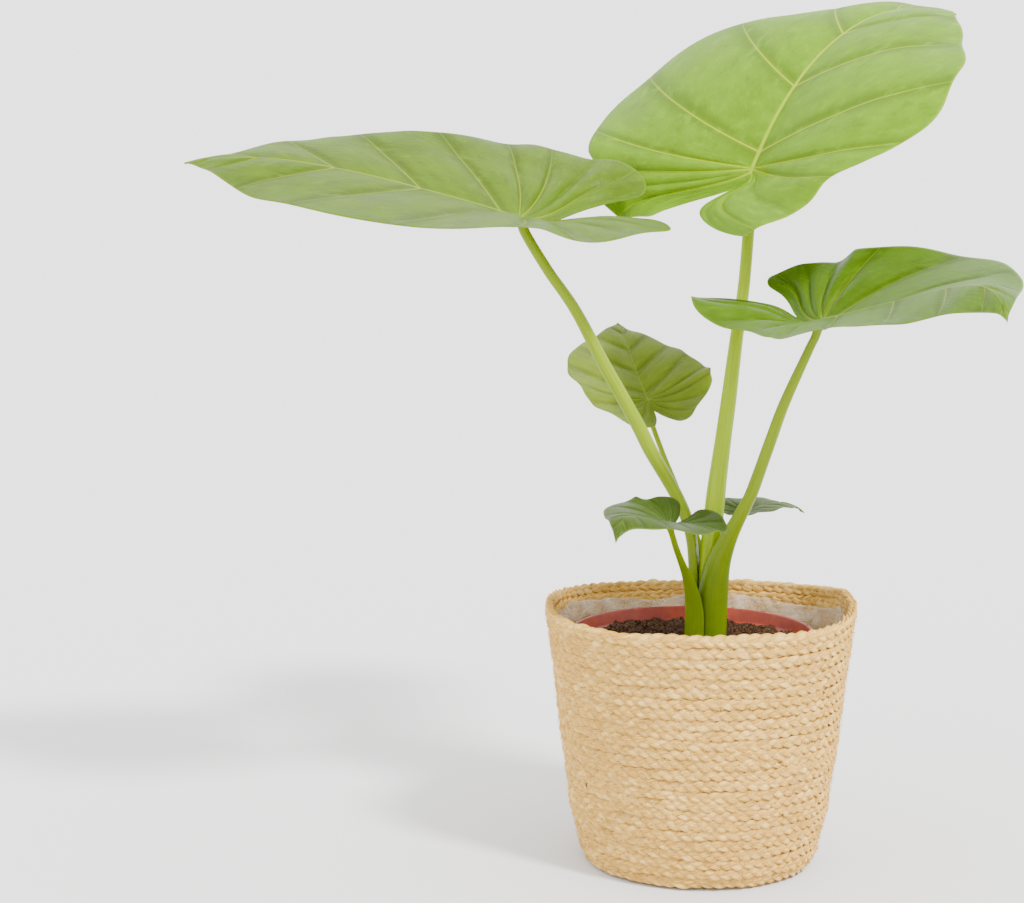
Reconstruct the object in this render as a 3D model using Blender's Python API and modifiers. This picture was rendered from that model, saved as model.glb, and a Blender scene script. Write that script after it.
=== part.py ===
"""Giant taro with six leaves, in a nursery pot inside a plaited straw basket.

Metres, +Z up. The origin is the middle of the basket's underside, and -Y is the front.
"""

import math

import bmesh
import bpy
import numpy as np

# Basket, of a plaited straw braid stitched in a coil
BASKET_HEIGHT = 0.2014
BASKET_ROWS = 25
BASKET_ROUND = 48
BASKET_WALL = 0.0058
BASKET_FLOOR = 0.0080
BASKET_LEVELS = [0.0, 0.0040, 0.0116, 0.0445, 0.1090, 0.1530, 0.2014]
BASKET_RADII = [0.0850, 0.0905, 0.0945, 0.1020, 0.1105, 0.1155, 0.1222]
ROW_RELIEF = 0.0009
PLAIT_RELIEF = 0.0005
RIM_LIFT_RIGHT = 0.0080
RIM_LIFT_LEFT = 0.0045
RIM_SQUARENESS = 0.40

# Clear plastic lining of the basket
LINER_THICK = 0.0008
LINER_TOP = 0.1890
LINER_CREASE = 0.0012
LINER_ROUND = 32

# Nursery pot
POT_CENTRE = (-0.0060, 0.0020)
POT_BOTTOM = 0.0100
POT_TOP = 0.1835
POT_RIM_RADIUS = 0.0950
POT_TOP_RADIUS = 0.0912
POT_BASE_RADIUS = 0.0700
POT_WALL = 0.0013
POT_LIP = 0.0110
POT_HOLES = 6
POT_HOLE_RADIUS = 0.0050
POT_HOLE_RING = 0.0480

# Soil, and the buried corm
GAP = 0.0003
SOIL_TOP = 0.1735
SOIL_LUMP = 0.0014
SOIL_ROUND = 40
SHOOT_CENTRE = (0.0042, 0.0000)
SHOOT_HOLE_RADIUS = 0.0232
CORM_TOP = 0.1400
CORM_BOTTOM = 0.1050
CORM_RADIUS = 0.0185

# Leaves
BLADE_THICK = 0.0008
HUB_CLEARANCE = 0.0009
VEINS = 10
VEIN_CROWDING = 0.55
PANEL_RISE = 0.0024
MARGIN_WAVE = 0.0032
LOBE_REACH = 1.5
HUB_ORDER = 0.335

# Half outline of a blade: along the midrib over its length or its lobe, across over the half width
OUTLINE = [
    (1.00, 0.000), (0.94, 0.060), (0.80, 0.270), (0.61, 0.570), (0.37, 0.850), (0.12, 0.985),
    (-0.12, 1.000), (-0.42, 0.930), (-0.72, 0.780), (-0.94, 0.570), (-1.00, 0.380), (-0.90, 0.200),
    (-0.66, 0.105), (-0.42, 0.035), (-0.28, 0.000),
]

# Five places round a half's margin, from the tip to its lobe, where it may be fuller or leaner
FULLER_AT = [0.14, 0.30, 0.48, 0.64, 0.78]

# Each blade: hub where its petiole meets it, heading from +X, angles in degrees, sizes in metres. Pairs belong to
# its left and right half: the length of its lobe, and how much fuller it is at the five places
BLADES = {
    "blade_left": dict(
        hub=(-0.1388, -0.0300, 0.5060), heading=194.1, pitch=16.2, roll=-18.8, bend=-26.3, bend_power=2.5,
        swerve=-40.0, twist=-5.8, trough=15.0, trough_tip=-17.3, curl=-3.4, curl_tip=23.2, lobe_bend=30.2,
        length=0.2818, left=0.1241, right=0.1249, lobe=0.1057, sway=-0.030, lobes=(0.105, 0.117),
        fuller=((0.0, 0.005, -0.21, 0.045, 0.02), (0.015, -0.145, -0.06, 0.07, 0.13)),
        rows=30, columns=5, relief=1.0,
    ),
    "blade_top": dict(
        hub=(0.0369, 0.0300, 0.5424), heading=44.7, pitch=60.9, roll=4.3, bend=-72.8, bend_power=1.34,
        swerve=-5.3, twist=7.0, trough=21.2, trough_tip=-0.3, curl=-28.2, curl_tip=-7.9, lobe_bend=16.9,
        length=0.2872, left=0.1728, right=0.1680, lobe=0.0710, sway=0.0315, lobes=(0.067, 0.074),
        fuller=((0.055, 0.08, -0.13, -0.11, 0.28), (0.105, 0.0, -0.31, -0.20, -0.05)),
        rows=30, columns=5, relief=1.0,
    ),
    "blade_right": dict(
        hub=(0.0880, -0.0450, 0.4297), heading=-36.6, pitch=13.0, roll=22.3, bend=-54.9, bend_power=3.93,
        swerve=-51.6, twist=-9.1, trough=12.6, trough_tip=-38.0, curl=7.5, curl_tip=30.0, lobe_bend=45.4,
        length=0.2466, left=0.0842, right=0.0881, lobe=0.0961, sway=0.017, lobes=(0.085, 0.101),
        fuller=((-0.12, 0.07, -0.05, -0.075, -0.03), (0.18, -0.01, -0.35, -0.12, 0.0)),
        rows=30, columns=5, relief=0.8,
    ),
    "blade_back": dict(
        hub=(-0.0436, 0.0660, 0.3573), heading=117.0, pitch=40.7, roll=-13.8, bend=-33.6, bend_power=3.24,
        swerve=-16.8, twist=20.4, trough=22.8, trough_tip=-12.3, curl=12.1, curl_tip=-3.6, lobe_bend=28.0,
        length=0.111, left=0.0669, right=0.0553, lobe=0.0457, sway=-0.002, lobes=(0.048, 0.0475),
        fuller=((0.01, 0.04, -0.055, 0.0, 0.095), (0.0, -0.115, 0.05, -0.035, 0.01)),
        rows=20, columns=4, relief=0.5,
    ),
    "blade_front": dict(
        hub=(-0.0247, -0.0520, 0.2746), heading=232.7, pitch=14.5, roll=-12.4, bend=-102.9, bend_power=4.55,
        swerve=24.0, twist=11.9, trough=17.9, trough_tip=-23.9, curl=-12.7, curl_tip=0.6, lobe_bend=75.0,
        length=0.0932, left=0.0470, right=0.0399, lobe=0.0309, sway=0.0, lobes=(0.0295, 0.0345),
        fuller=((0.0, 0.02, 0.045, 0.045, -0.03), (-0.20, 0.0, 0.02, 0.02, 0.0)),
        rows=20, columns=4, relief=0.4,
    ),
    "blade_low_back": dict(
        hub=(0.0350, 0.0500, 0.2700), heading=38.0, pitch=14.0, roll=4.0, bend=-60.0, bend_power=2.2,
        swerve=-10.0, twist=0.0, trough=14.0, trough_tip=-12.0, curl=-4.0, curl_tip=0.0, lobe_bend=30.0,
        length=0.062, left=0.0280, right=0.0280, lobe=0.0270, sway=0.0, lobes=(0.027, 0.027),
        fuller=((0.0, 0.0, 0.0, 0.0, 0.0), (0.0, 0.0, 0.0, 0.0, 0.0)),
        rows=20, columns=4, relief=0.3,
    ),
}

# Each petiole: points of its middle with a radius, and its sheath at the foot as the direction it faces,
# half its spread in degrees, its inner radius and its thickness, whole up to one height and gone at another
PETIOLES = {
    "petiole_top": dict(
        path=[
            (0.0042, 0.0, 0.1405, 0.0085), (0.0050, 0.0, 0.178, 0.0085), (0.0070, 0.0, 0.239, 0.0081),
            (0.0105, 0.0, 0.282, 0.0077), (0.0125, 0.001, 0.302, 0.0072), (0.0165, 0.003, 0.334, 0.0064),
            (0.0205, 0.007, 0.365, 0.0060), (0.0260, 0.014, 0.412, 0.0052), (0.0312, 0.021, 0.451, 0.0047),
            (0.0347, 0.028, 0.497, 0.0046),
        ],
        blade="blade_top", sheath=None,
    ),
    "petiole_left": dict(
        path=[
            (-0.0030, 0.0, 0.1405, 0.0060), (-0.0040, 0.0, 0.200, 0.0062), (-0.0115, 0.0, 0.250, 0.0062),
            (-0.0255, -0.002, 0.291, 0.0059), (-0.0465, -0.006, 0.339, 0.0055), (-0.0755, -0.013, 0.392, 0.0049),
            (-0.0980, -0.019, 0.435, 0.0043), (-0.1190, -0.025, 0.466, 0.0040), (-0.1357, -0.0297, 0.494, 0.0039),
        ],
        blade="blade_left", sheath=(170.0, 40.0, 0.0094, 0.0064, 0.200, 0.330),
    ),
    "petiole_right": dict(
        path=[
            (0.0120, -0.0090, 0.1405, 0.0060), (0.0130, -0.0090, 0.177, 0.0060), (0.0172, -0.0110, 0.222, 0.0060),
            (0.0246, -0.0150, 0.252, 0.0056), (0.0350, -0.0200, 0.284, 0.0051), (0.0442, -0.0250, 0.312, 0.0047),
            (0.0530, -0.0300, 0.339, 0.0045), (0.0625, -0.0350, 0.367, 0.0041), (0.0795, -0.0415, 0.407, 0.0034),
            (0.0840, -0.0435, 0.417, 0.0033),
        ],
        blade="blade_right", sheath=(-50.0, 98.0, 0.0094, 0.0086, 0.205, 0.300),
    ),
    "petiole_back": dict(
        path=[
            (0.0030, 0.0125, 0.1405, 0.0026), (0.0000, 0.0140, 0.200, 0.0026), (-0.0060, 0.0235, 0.245, 0.0025),
            (-0.0180, 0.0405, 0.285, 0.0023), (-0.0310, 0.0565, 0.315, 0.0021), (-0.0415, 0.0675, 0.342, 0.0021),
        ],
        blade="blade_back", sheath=(101.0, 24.0, 0.0094, 0.0050, 0.190, 0.290),
    ),
    "petiole_front": dict(
        path=[
            (-0.0105, -0.0125, 0.1405, 0.0028), (-0.0115, -0.0145, 0.190, 0.0028), (-0.0135, -0.0230, 0.222, 0.0027),
            (-0.0175, -0.0350, 0.247, 0.0025), (-0.0215, -0.0450, 0.264, 0.0023),
        ],
        blade="blade_front", sheath=(222.0, 42.0, 0.0162, 0.0036, 0.190, 0.258),
    ),
    "petiole_low_back": dict(
        path=[
            (0.0110, 0.0115, 0.1405, 0.0020), (0.0125, 0.0130, 0.190, 0.0020), (0.0190, 0.0240, 0.225, 0.0019),
            (0.0280, 0.0380, 0.252, 0.0018), (0.0335, 0.0465, 0.264, 0.0018),
        ],
        blade="blade_low_back", sheath=(63.0, 9.0, 0.0094, 0.0050, 0.180, 0.230),
    ),
}

# Colours
STRAW = (0.62, 0.44, 0.22)
TERRACOTTA = (0.42, 0.075, 0.030)
LINER_GREY = (0.75, 0.74, 0.70)
SOIL_BROWN = (0.035, 0.020, 0.012)
CORM_BROWN = (0.14, 0.075, 0.035)
STALK_GREEN = (0.36, 0.56, 0.060)
LIME = (0.26, 0.50, 0.020)
OLIVE = (0.13, 0.27, 0.050)
MID_GREEN = (0.11, 0.28, 0.030)
GREY_GREEN = (0.075, 0.18, 0.055)


def clear_scene():
    for obj in list(bpy.data.objects):
        bpy.data.objects.remove(obj, do_unlink=True)


def new_collection(name, hidden=False):
    collection = bpy.data.collections.new(name)
    collection.hide_render = hidden
    bpy.context.scene.collection.children.link(collection)
    return collection


def material(name, colour, roughness, metallic=0.0):
    made = bpy.data.materials.new(name)
    made.use_nodes = True
    shader = made.node_tree.nodes["Principled BSDF"]
    shader.inputs["Base Color"].default_value = (*colour, 1.0)
    shader.inputs["Roughness"].default_value = roughness
    shader.inputs["Metallic"].default_value = metallic
    return made


def solid(name, points, faces, look, collection):
    """A closed body from points and faces, its faces turned outwards, shaded smooth."""
    mesh = bpy.data.meshes.new(name)
    mesh.from_pydata([tuple(p) for p in points], [], faces)
    shape = bmesh.new()
    shape.from_mesh(mesh)
    bmesh.ops.recalc_face_normals(shape, faces=shape.faces)
    shape.to_mesh(mesh)
    shape.free()
    mesh.materials.append(look)
    mesh.shade_smooth()
    obj = bpy.data.objects.new(name, mesh)
    collection.objects.link(obj)
    return obj


def smoothstep(low, high, value):
    t = np.clip((value - low) / (high - low), 0.0, 1.0)
    return t * t * (3.0 - 2.0 * t)


def spline(points, params):
    """Catmull-Rom through the points, with params from 0 to their number less one."""
    points = np.asarray(points, float)
    ends = np.vstack([2 * points[0] - points[1], points, 2 * points[-1] - points[-2]])
    params = np.clip(np.asarray(params, float), 0.0, len(points) - 1.0)
    k = np.minimum(params.astype(int), len(points) - 2)
    t = (params - k)[:, None]
    a, b, c, d = ends[k], ends[k + 1], ends[k + 2], ends[k + 3]
    return 0.5 * (2 * b + (c - a) * t + (2 * a - 5 * b + 4 * c - d) * t**2 + (3 * b - a - 3 * c + d) * t**3)


def ring_faces(rings, around, first=0):
    """Triangles between successive closed rings of points."""
    faces = []
    for j in range(rings - 1):
        for i in range(around):
            a = first + j * around + i
            b = first + j * around + (i + 1) % around
            faces += [(a, b, b + around), (a, b + around, a + around)]
    return faces


def capped_rings(rings, flat_ends=False):
    """Points and faces of a stack of rings, closed by a middle point at each end or by one flat face."""
    rings = [np.asarray(r) for r in rings]
    around = len(rings[0])
    faces = ring_faces(len(rings), around)
    if flat_ends:
        last = (len(rings) - 1) * around
        faces += [tuple(range(around))[::-1], tuple(range(last, last + around))]
        return np.vstack(rings), faces
    points = np.vstack(rings + [rings[0].mean(0), rings[-1].mean(0)])
    start, end = len(points) - 2, len(points) - 1
    last = (len(rings) - 1) * around
    for i in range(around):
        j = (i + 1) % around
        faces += [(start, j, i), (end, last + i, last + j)]
    return points, faces


# Basket and its lining


def basket_radius(angle, height):
    """Middle radius of the basket's outside: round at the foot, softly square at the rim."""
    radius = np.interp(height, BASKET_LEVELS, BASKET_RADII)
    power = 2.0 + RIM_SQUARENESS * np.clip(height / BASKET_HEIGHT, 0, 1) ** 2
    square = (np.abs(np.cos(angle)) ** power + np.abs(np.sin(angle)) ** power) ** (-1.0 / power)
    return radius * square


def rim_lift(angle, height):
    """How far the coil rises towards the rim's right and left ends."""
    share = smoothstep(0.10, BASKET_HEIGHT, height)
    right = RIM_LIFT_RIGHT * np.clip(np.cos(angle - 0.10), 0, 1) ** 5
    left = RIM_LIFT_LEFT * np.clip(-np.cos(angle), 0, 1) ** 5
    return share * (right + left)


def basket_ring(angle, height, inset):
    radius = basket_radius(angle, height) - inset
    rise = rim_lift(angle, np.full_like(angle, height))
    return np.stack([radius * np.cos(angle), radius * np.sin(angle), height + rise], axis=1)


def build_basket(look, collection):
    angle = np.arange(BASKET_ROUND) * 2 * math.pi / BASKET_ROUND
    plait = np.where(np.arange(BASKET_ROUND) % 2 == 0, 1.0, -1.0)
    rings = [basket_ring(angle, 0.0, 0.030), basket_ring(angle, 0.0, 0.004)]
    low = 0.0022
    pitch = (BASKET_HEIGHT - low) / BASKET_ROWS
    for row in range(BASKET_ROWS):
        groove = low + row * pitch
        rings.append(basket_ring(angle, groove, ROW_RELIEF))
        bulge = PLAIT_RELIEF * plait * (1 if row % 2 == 0 else -1)
        rings.append(basket_ring(angle, groove + 0.5 * pitch, -ROW_RELIEF * 0.6 - bulge))
    rings.append(basket_ring(angle, BASKET_HEIGHT - 0.0008, 0.0012))
    rings.append(basket_ring(angle, BASKET_HEIGHT, BASKET_WALL * 0.5))
    rings.append(basket_ring(angle, BASKET_HEIGHT - 0.0008, BASKET_WALL - 0.0010))
    for height in (0.192, 0.153, 0.109, 0.060, 0.020):
        rings.append(basket_ring(angle, height, BASKET_WALL))
    rings.append(basket_ring(angle, BASKET_FLOOR, BASKET_WALL + 0.002))
    rings.append(basket_ring(angle, BASKET_FLOOR, 0.045))
    points, faces = capped_rings(rings)
    return solid("basket", points, faces, look, collection)


def build_liner(look, collection):
    """The lining's open surface, thickened inwards, with soft creases towards its upper edge."""
    angle = np.arange(LINER_ROUND) * 2 * math.pi / LINER_ROUND
    crease = 0.5 + 0.25 * np.sin(7 * angle + 0.6) + 0.25 * np.sin(13 * angle + 2.1)
    rings = [basket_ring(angle, BASKET_FLOOR + GAP, 0.060)]
    rings.append(basket_ring(angle, BASKET_FLOOR + GAP, BASKET_WALL + 0.0040))
    for height in (0.013, 0.060, 0.109, 0.153, 0.175, LINER_TOP):
        share = float(smoothstep(0.05, 0.175, height))
        inset = BASKET_WALL + 0.0006 + (0.0024 if height < 0.02 else 0.0)
        ring = basket_ring(angle, height, inset + share * LINER_CREASE * crease)
        if height == LINER_TOP:
            ring[:, 2] += 0.0015 * np.sin(5 * angle + 1.0)
        rings.append(ring)
    points = np.vstack([rings[0].mean(0)] + rings)
    faces = [(0, 1 + (i + 1) % LINER_ROUND, 1 + i) for i in range(LINER_ROUND)]
    faces += ring_faces(len(rings), LINER_ROUND, first=1)
    mesh = bpy.data.meshes.new("liner")
    mesh.from_pydata([tuple(p) for p in points], [], faces)
    mesh.materials.append(look)
    mesh.shade_smooth()
    obj = bpy.data.objects.new("liner", mesh)
    collection.objects.link(obj)
    skin = obj.modifiers.new("thickness", "SOLIDIFY")
    skin.thickness = LINER_THICK
    skin.offset = -1.0
    skin.use_even_offset = True
    return obj


# Pot, soil and corm


def turned(name, profile, look, collection, centre, steps=32):
    """A profile of (radius, height) turned about a vertical line through the centre."""
    mesh = bpy.data.meshes.new(name)
    edges = [(k, k + 1) for k in range(len(profile) - 1)]
    mesh.from_pydata([(r, 0.0, z) for r, z in profile], edges, [])
    mesh.materials.append(look)
    obj = bpy.data.objects.new(name, mesh)
    obj.location = (centre[0], centre[1], 0.0)
    collection.objects.link(obj)
    screw = obj.modifiers.new("turn", "SCREW")
    screw.steps = steps
    screw.render_steps = steps
    screw.use_merge_vertices = True
    screw.merge_threshold = 0.0001
    screw.use_smooth_shade = True
    return obj


def cut(obj, cutter):
    boolean = obj.modifiers.new("cut " + cutter.name, "BOOLEAN")
    boolean.operation = "DIFFERENCE"
    boolean.solver = "EXACT"
    boolean.object = cutter


def build_pot(look, collection, cutters):
    floor = POT_BOTTOM + 0.0020
    profile = [
        (0.0, floor + 0.0020), (POT_BASE_RADIUS * 0.4, floor + 0.0020),
        (POT_BASE_RADIUS - 0.0080, floor), (POT_BASE_RADIUS - POT_WALL - 0.0006, floor + 0.0006),
        (POT_TOP_RADIUS - POT_WALL, POT_TOP - POT_LIP - 0.0010),
        (POT_RIM_RADIUS - POT_WALL - 0.0014, POT_TOP - POT_LIP),
        (POT_RIM_RADIUS - POT_WALL - 0.0008, POT_TOP - 0.0004),
        (POT_RIM_RADIUS - 0.0010, POT_TOP), (POT_RIM_RADIUS, POT_TOP - 0.0008),
        (POT_RIM_RADIUS - 0.0006, POT_TOP - POT_LIP),
        (POT_TOP_RADIUS, POT_TOP - POT_LIP - 0.0012),
        (POT_BASE_RADIUS, POT_BOTTOM + 0.0008), (POT_BASE_RADIUS - 0.0012, POT_BOTTOM),
        (POT_BASE_RADIUS - 0.0060, POT_BOTTOM), (POT_BASE_RADIUS * 0.4, POT_BOTTOM + 0.0022),
        (0.0, POT_BOTTOM + 0.0022),
    ]
    pot = turned("nursery_pot", profile, look, collection, POT_CENTRE)
    shape = bmesh.new()
    for k in range(POT_HOLES):
        turn = 2 * math.pi * (k + 0.5) / POT_HOLES
        made = bmesh.ops.create_cone(
            shape, cap_ends=True, segments=12, radius1=POT_HOLE_RADIUS, radius2=POT_HOLE_RADIUS, depth=0.02
        )
        shift = (POT_HOLE_RING * math.cos(turn), POT_HOLE_RING * math.sin(turn), POT_BOTTOM)
        bmesh.ops.translate(shape, verts=made["verts"], vec=shift)
    mesh = bpy.data.meshes.new("drain_holes")
    shape.to_mesh(mesh)
    shape.free()
    holes = bpy.data.objects.new("drain_holes", mesh)
    holes.location = (POT_CENTRE[0], POT_CENTRE[1], 0.0)
    holes.hide_render = True
    holes.display_type = "WIRE"
    cutters.objects.link(holes)
    cut(pot, holes)
    return pot


def soil_lumps(x, y):
    """Low lumps of the soil's top."""
    a = np.sin(170 * x + 1.3) * np.sin(150 * y + 0.4)
    b = 0.6 * np.sin(310 * x - 90 * y + 2.0) + 0.5 * np.sin(120 * x + 290 * y)
    return SOIL_LUMP * (0.6 * a + 0.5 * b)


def build_soil(look, collection):
    angle = np.arange(SOIL_ROUND) * 2 * math.pi / SOIL_ROUND
    outer_top = POT_TOP_RADIUS - POT_WALL - GAP - 0.0002
    outer_low = POT_BASE_RADIUS - POT_WALL - 0.0013

    def ring(radius, share, height, lumpy=0.0):
        cx = SHOOT_CENTRE[0] + (POT_CENTRE[0] - SHOOT_CENTRE[0]) * share
        cy = SHOOT_CENTRE[1] + (POT_CENTRE[1] - SHOOT_CENTRE[1]) * share
        x, y = cx + radius * np.cos(angle), cy + radius * np.sin(angle)
        return np.stack([x, y, height + lumpy * soil_lumps(x, y)], axis=1)

    hole = SHOOT_HOLE_RADIUS
    edge = SOIL_TOP - 0.0030
    rings = [ring(hole, 0, CORM_BOTTOM - GAP), ring(hole, 0, SOIL_TOP - 0.004), ring(hole + 0.0015, 0, SOIL_TOP)]
    for share in (0.16, 0.34, 0.52, 0.70, 0.86):
        radius = hole + (outer_top - hole) * share
        rings.append(ring(radius, share, SOIL_TOP, 1.0))
    rings.append(ring(outer_top - 0.0020, 1, SOIL_TOP - 0.0010, 0.5))
    rings.append(ring(outer_top - 0.0004, 1, edge))
    rings.append(ring(outer_low, 1, POT_BOTTOM + 0.0050))
    rings.append(ring(outer_low * 0.5, 1, POT_BOTTOM + 0.0050))
    points, faces = capped_rings(rings)
    return solid("soil", points, faces, look, collection)


def build_corm(look, collection):
    profile = [(0.0, CORM_TOP), (CORM_RADIUS - 0.003, CORM_TOP), (CORM_RADIUS, CORM_TOP - 0.006)]
    profile += [(CORM_RADIUS - 0.001, CORM_TOP - 0.018), (CORM_RADIUS - 0.005, CORM_BOTTOM + 0.006)]
    profile += [(CORM_RADIUS - 0.010, CORM_BOTTOM), (0.0, CORM_BOTTOM)]
    return turned("corm", profile, look, collection, SHOOT_CENTRE, steps=20)


# Leaf blades


class Blade:
    """The middle surface of a blade: a bent midrib with a curved arc across it on each side."""

    def __init__(self, spec):
        self.spec = spec
        lobe_part = np.linspace(-LOBE_REACH, 0.0, 44)[:-1]
        front_part = np.linspace(0.0, 1.0, 80)
        self.hub_index = len(lobe_part)
        pitch = math.radians(spec["pitch"])
        heading = math.radians(spec["heading"])
        bend = math.radians(spec["bend"]) * front_part ** spec["bend_power"]
        tilt = np.r_[pitch + math.radians(spec["lobe_bend"]) * lobe_part, pitch + bend]
        turn = np.r_[np.full(self.hub_index, heading), heading + math.radians(spec["swerve"]) * front_part]
        along = np.stack([np.cos(tilt) * np.cos(turn), np.cos(tilt) * np.sin(turn), np.sin(tilt)], axis=1)
        self.place = np.r_[lobe_part * spec["lobe"], front_part * spec["length"]]
        steps = np.diff(self.place)[:, None] * (along[1:] + along[:-1]) / 2
        middle = np.vstack([np.zeros(3), np.cumsum(steps, axis=0)])
        self.middle = middle - middle[self.hub_index] + np.array(spec["hub"])
        level = np.stack([-np.sin(turn), np.cos(turn), np.zeros(len(turn))], axis=1)
        upward = np.cross(along, level)
        roll = np.radians(spec["roll"] + spec["twist"] * np.clip(self.place / spec["length"], 0, 1))[:, None]
        self.across = level * np.cos(roll) + upward * np.sin(roll)
        self.normal = upward * np.cos(roll) - level * np.sin(roll)

    def at(self, u, v):
        """World points for distances u along the midrib from the hub and v to its left."""
        spec = self.spec
        pick = [np.stack([np.interp(u, self.place, a[:, k]) for k in range(3)], axis=-1)
                for a in (self.middle, self.across, self.normal)]
        share = np.clip(u / spec["length"], 0, 1)
        width = np.where(v > 0, spec["left"], spec["right"])
        start = np.radians(spec["trough"] + (spec["trough_tip"] - spec["trough"]) * share)
        rate = np.radians(spec["curl"] + spec["curl_tip"] * share) / width
        rate = np.where(np.abs(rate) < 1e-5, 1e-5, rate)
        reach = np.abs(v)
        out = (np.sin(start + rate * reach) - np.sin(start)) / rate
        rise = (np.cos(start) - np.cos(start + rate * reach)) / rate
        behind = np.clip((-u / spec["lobe"] - 0.05) / 1.2, 0, 1)
        sway = np.sin(np.pi * behind) ** 2 * np.exp(-((v / (0.6 * width)) ** 2))
        out = np.sign(v) * out + spec["sway"] * sway
        return pick[0] + pick[1] * out[..., None] + pick[2] * rise[..., None]

    def normal_at(self, u, v):
        step = 0.0004
        du = self.at(u + step, v) - self.at(u - step, v)
        dv = self.at(u, v + step) - self.at(u, v - step)
        normal = np.cross(du, dv)
        return normal / np.linalg.norm(normal, axis=-1, keepdims=True)


def margin(spec, side, order):
    """The margin of one half: the common outline with this half's own lobe and fullness."""
    half = 0 if side > 0 else 1
    width = (spec["left"], spec["right"])[half]
    edge = spline(OUTLINE, order * (len(OUTLINE) - 1))

    def ahead(along):
        return (along + np.sqrt(along * along + 0.03)) / 2

    share = (ahead(edge[:, 0]) - ahead(-1.0)) / (ahead(1.0) - ahead(-1.0))
    lobe = spec["lobes"][half] + (spec["lobe"] - spec["lobes"][half]) * smoothstep(0.72, 1.0, order)
    u = lobe * edge[:, 0] + (spec["length"] - lobe) * share
    fuller = 1.0
    for at, more in zip(FULLER_AT, spec["fuller"][half]):
        fuller = fuller + more * np.exp(-(((order - at) / 0.10) ** 2))
    return u, side * width * edge[:, 1] * fuller, edge[:, 0]


def half_grid(spec, side, rows, columns):
    """Places (u, v) of one half, row by row from the tip round to the notch, and the rows' order."""
    place = np.linspace(0.0, 1.0, rows + 1)
    order = place * (VEIN_CROWDING + (1 - VEIN_CROWDING) * place)
    u_edge, v_edge, along = margin(spec, side, order)
    x = np.clip((along - 0.2) / 0.8, 0, 1)
    start = 0.003 * (1 - x) + spec["length"] * x**1.3 * (0.8 + 0.2 * x**3)
    behind = np.clip((order - HUB_ORDER) / (1 - HUB_ORDER), 0, 1)
    back = 0.3 * behind + 0.7 * behind**4
    start = np.where(order < HUB_ORDER, start, 0.003 + (u_edge[-1] - 0.003) * back)
    t = np.linspace(0.0, 1.0, columns + 1)
    du, dv = u_edge - start, v_edge
    sweep = 0.10 * np.sin(np.pi * np.clip(order * 1.25, 0, 1))
    hump = 2 * t[None, :] * (1 - t[None, :]) * sweep[:, None]
    u = start[:, None] + du[:, None] * t[None, :] - hump * np.abs(dv)[:, None]
    v = dv[:, None] * t[None, :] + hump * (side * du)[:, None] * 0.5
    return u, v, order, t


def blade_relief(spec, order, t, side):
    """Panels swell between the veins, and the margin waves with them."""
    phase = np.linspace(0.0, VEINS, len(order))[:, None]
    swell = np.abs(np.sin(math.pi * phase)) ** 0.8
    behind = np.clip((order[:, None] - HUB_ORDER) / (1 - HUB_ORDER), 0, 1)
    t = t[None, :]
    panels = PANEL_RISE * swell * np.sin(math.pi * np.clip(t, 0, 1) ** (0.8 + 1.6 * behind))
    wave = MARGIN_WAVE * np.sin(2 * math.pi * (phase * 0.5 + 0.17 * side)) * t**3
    fade = np.sin(math.pi * np.clip(order, 0, 1)) ** 0.6 * (1 - smoothstep(0.68, 0.86, order))
    return spec["relief"] * fade[:, None] * (panels + wave)


def build_blade(name, look, collection):
    spec = BLADES[name]
    blade = Blade(spec)
    rows, columns = spec["rows"], spec["columns"]
    top, low = [], []
    for side in (1, -1):
        u, v, order, t = half_grid(spec, side, rows, columns)
        v[:, 0] = 0.0
        probe = v.copy()
        probe[:, 0] = side * 1e-6
        middle = blade.at(u, probe)
        normal = blade.normal_at(u, np.where(np.abs(v) < 0.001, side * 0.001, v))
        spine = np.stack([np.interp(u[:, 0], blade.place, blade.normal[:, k]) for k in range(3)], axis=-1)
        normal[:, 0] = spine
        normal[0, :] = spine[0]
        middle = middle + normal * blade_relief(spec, order, t, side)[..., None]
        top.append(middle + normal * BLADE_THICK / 2)
        low.append(middle - normal * BLADE_THICK / 2)
    points, index = [], {}

    def vertex(face, half, i, j):
        key = (face, 0, i, 0) if j == 0 else (face, half, i, j)
        if i == 0:
            key = (face, 0, 0, 0)
        if i == rows:
            key = (face, 0, rows, 0)
        if key not in index:
            index[key] = len(points)
            points.append((top if face == 0 else low)[key[1]][key[2]][key[3]])
        return index[key]

    faces = []
    for half in (0, 1):
        for i in range(rows):
            for j in range(columns):
                corners = [(i, j), (i + 1, j), (i + 1, j + 1), (i, j + 1)]
                for tri in ((0, 1, 2), (0, 2, 3)):
                    for face in (0, 1):
                        ids = [vertex(face, half, *corners[c]) for c in tri]
                        if len(set(ids)) == 3:
                            faces.append(ids if face == half else ids[::-1])
            a, b = vertex(0, half, i, columns), vertex(0, half, i + 1, columns)
            c, d = vertex(1, half, i + 1, columns), vertex(1, half, i, columns)
            for ids in ((a, b, c), (a, c, d)):
                if len(set(ids)) == 3:
                    faces.append(ids)
    return solid(name, points, faces, look, collection)


# Petioles with their sheaths

SECTION_POINTS = 12


def shoot_axis(height):
    """The middle of the top leaf's petiole, about which the other sheaths are nested."""
    path = np.array(PETIOLES["petiole_top"]["path"])
    return np.interp(height, path[:, 2], path[:, 0]), np.interp(height, path[:, 2], path[:, 1])


def clear_of_shoot(points, height, opening):
    """Points nearer the shoot's axis than its petiole's surface, moved out to clear it."""
    path = np.array(PETIOLES["petiole_top"]["path"])
    least = np.interp(height, path[:, 2], path[:, 3]) + 0.0008 + 0.0018 * opening
    away = points - np.array(shoot_axis(height))
    reach = np.linalg.norm(away, axis=1)
    return points + away * (np.maximum(least / reach, 1.0) - 1.0)[:, None]


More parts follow.
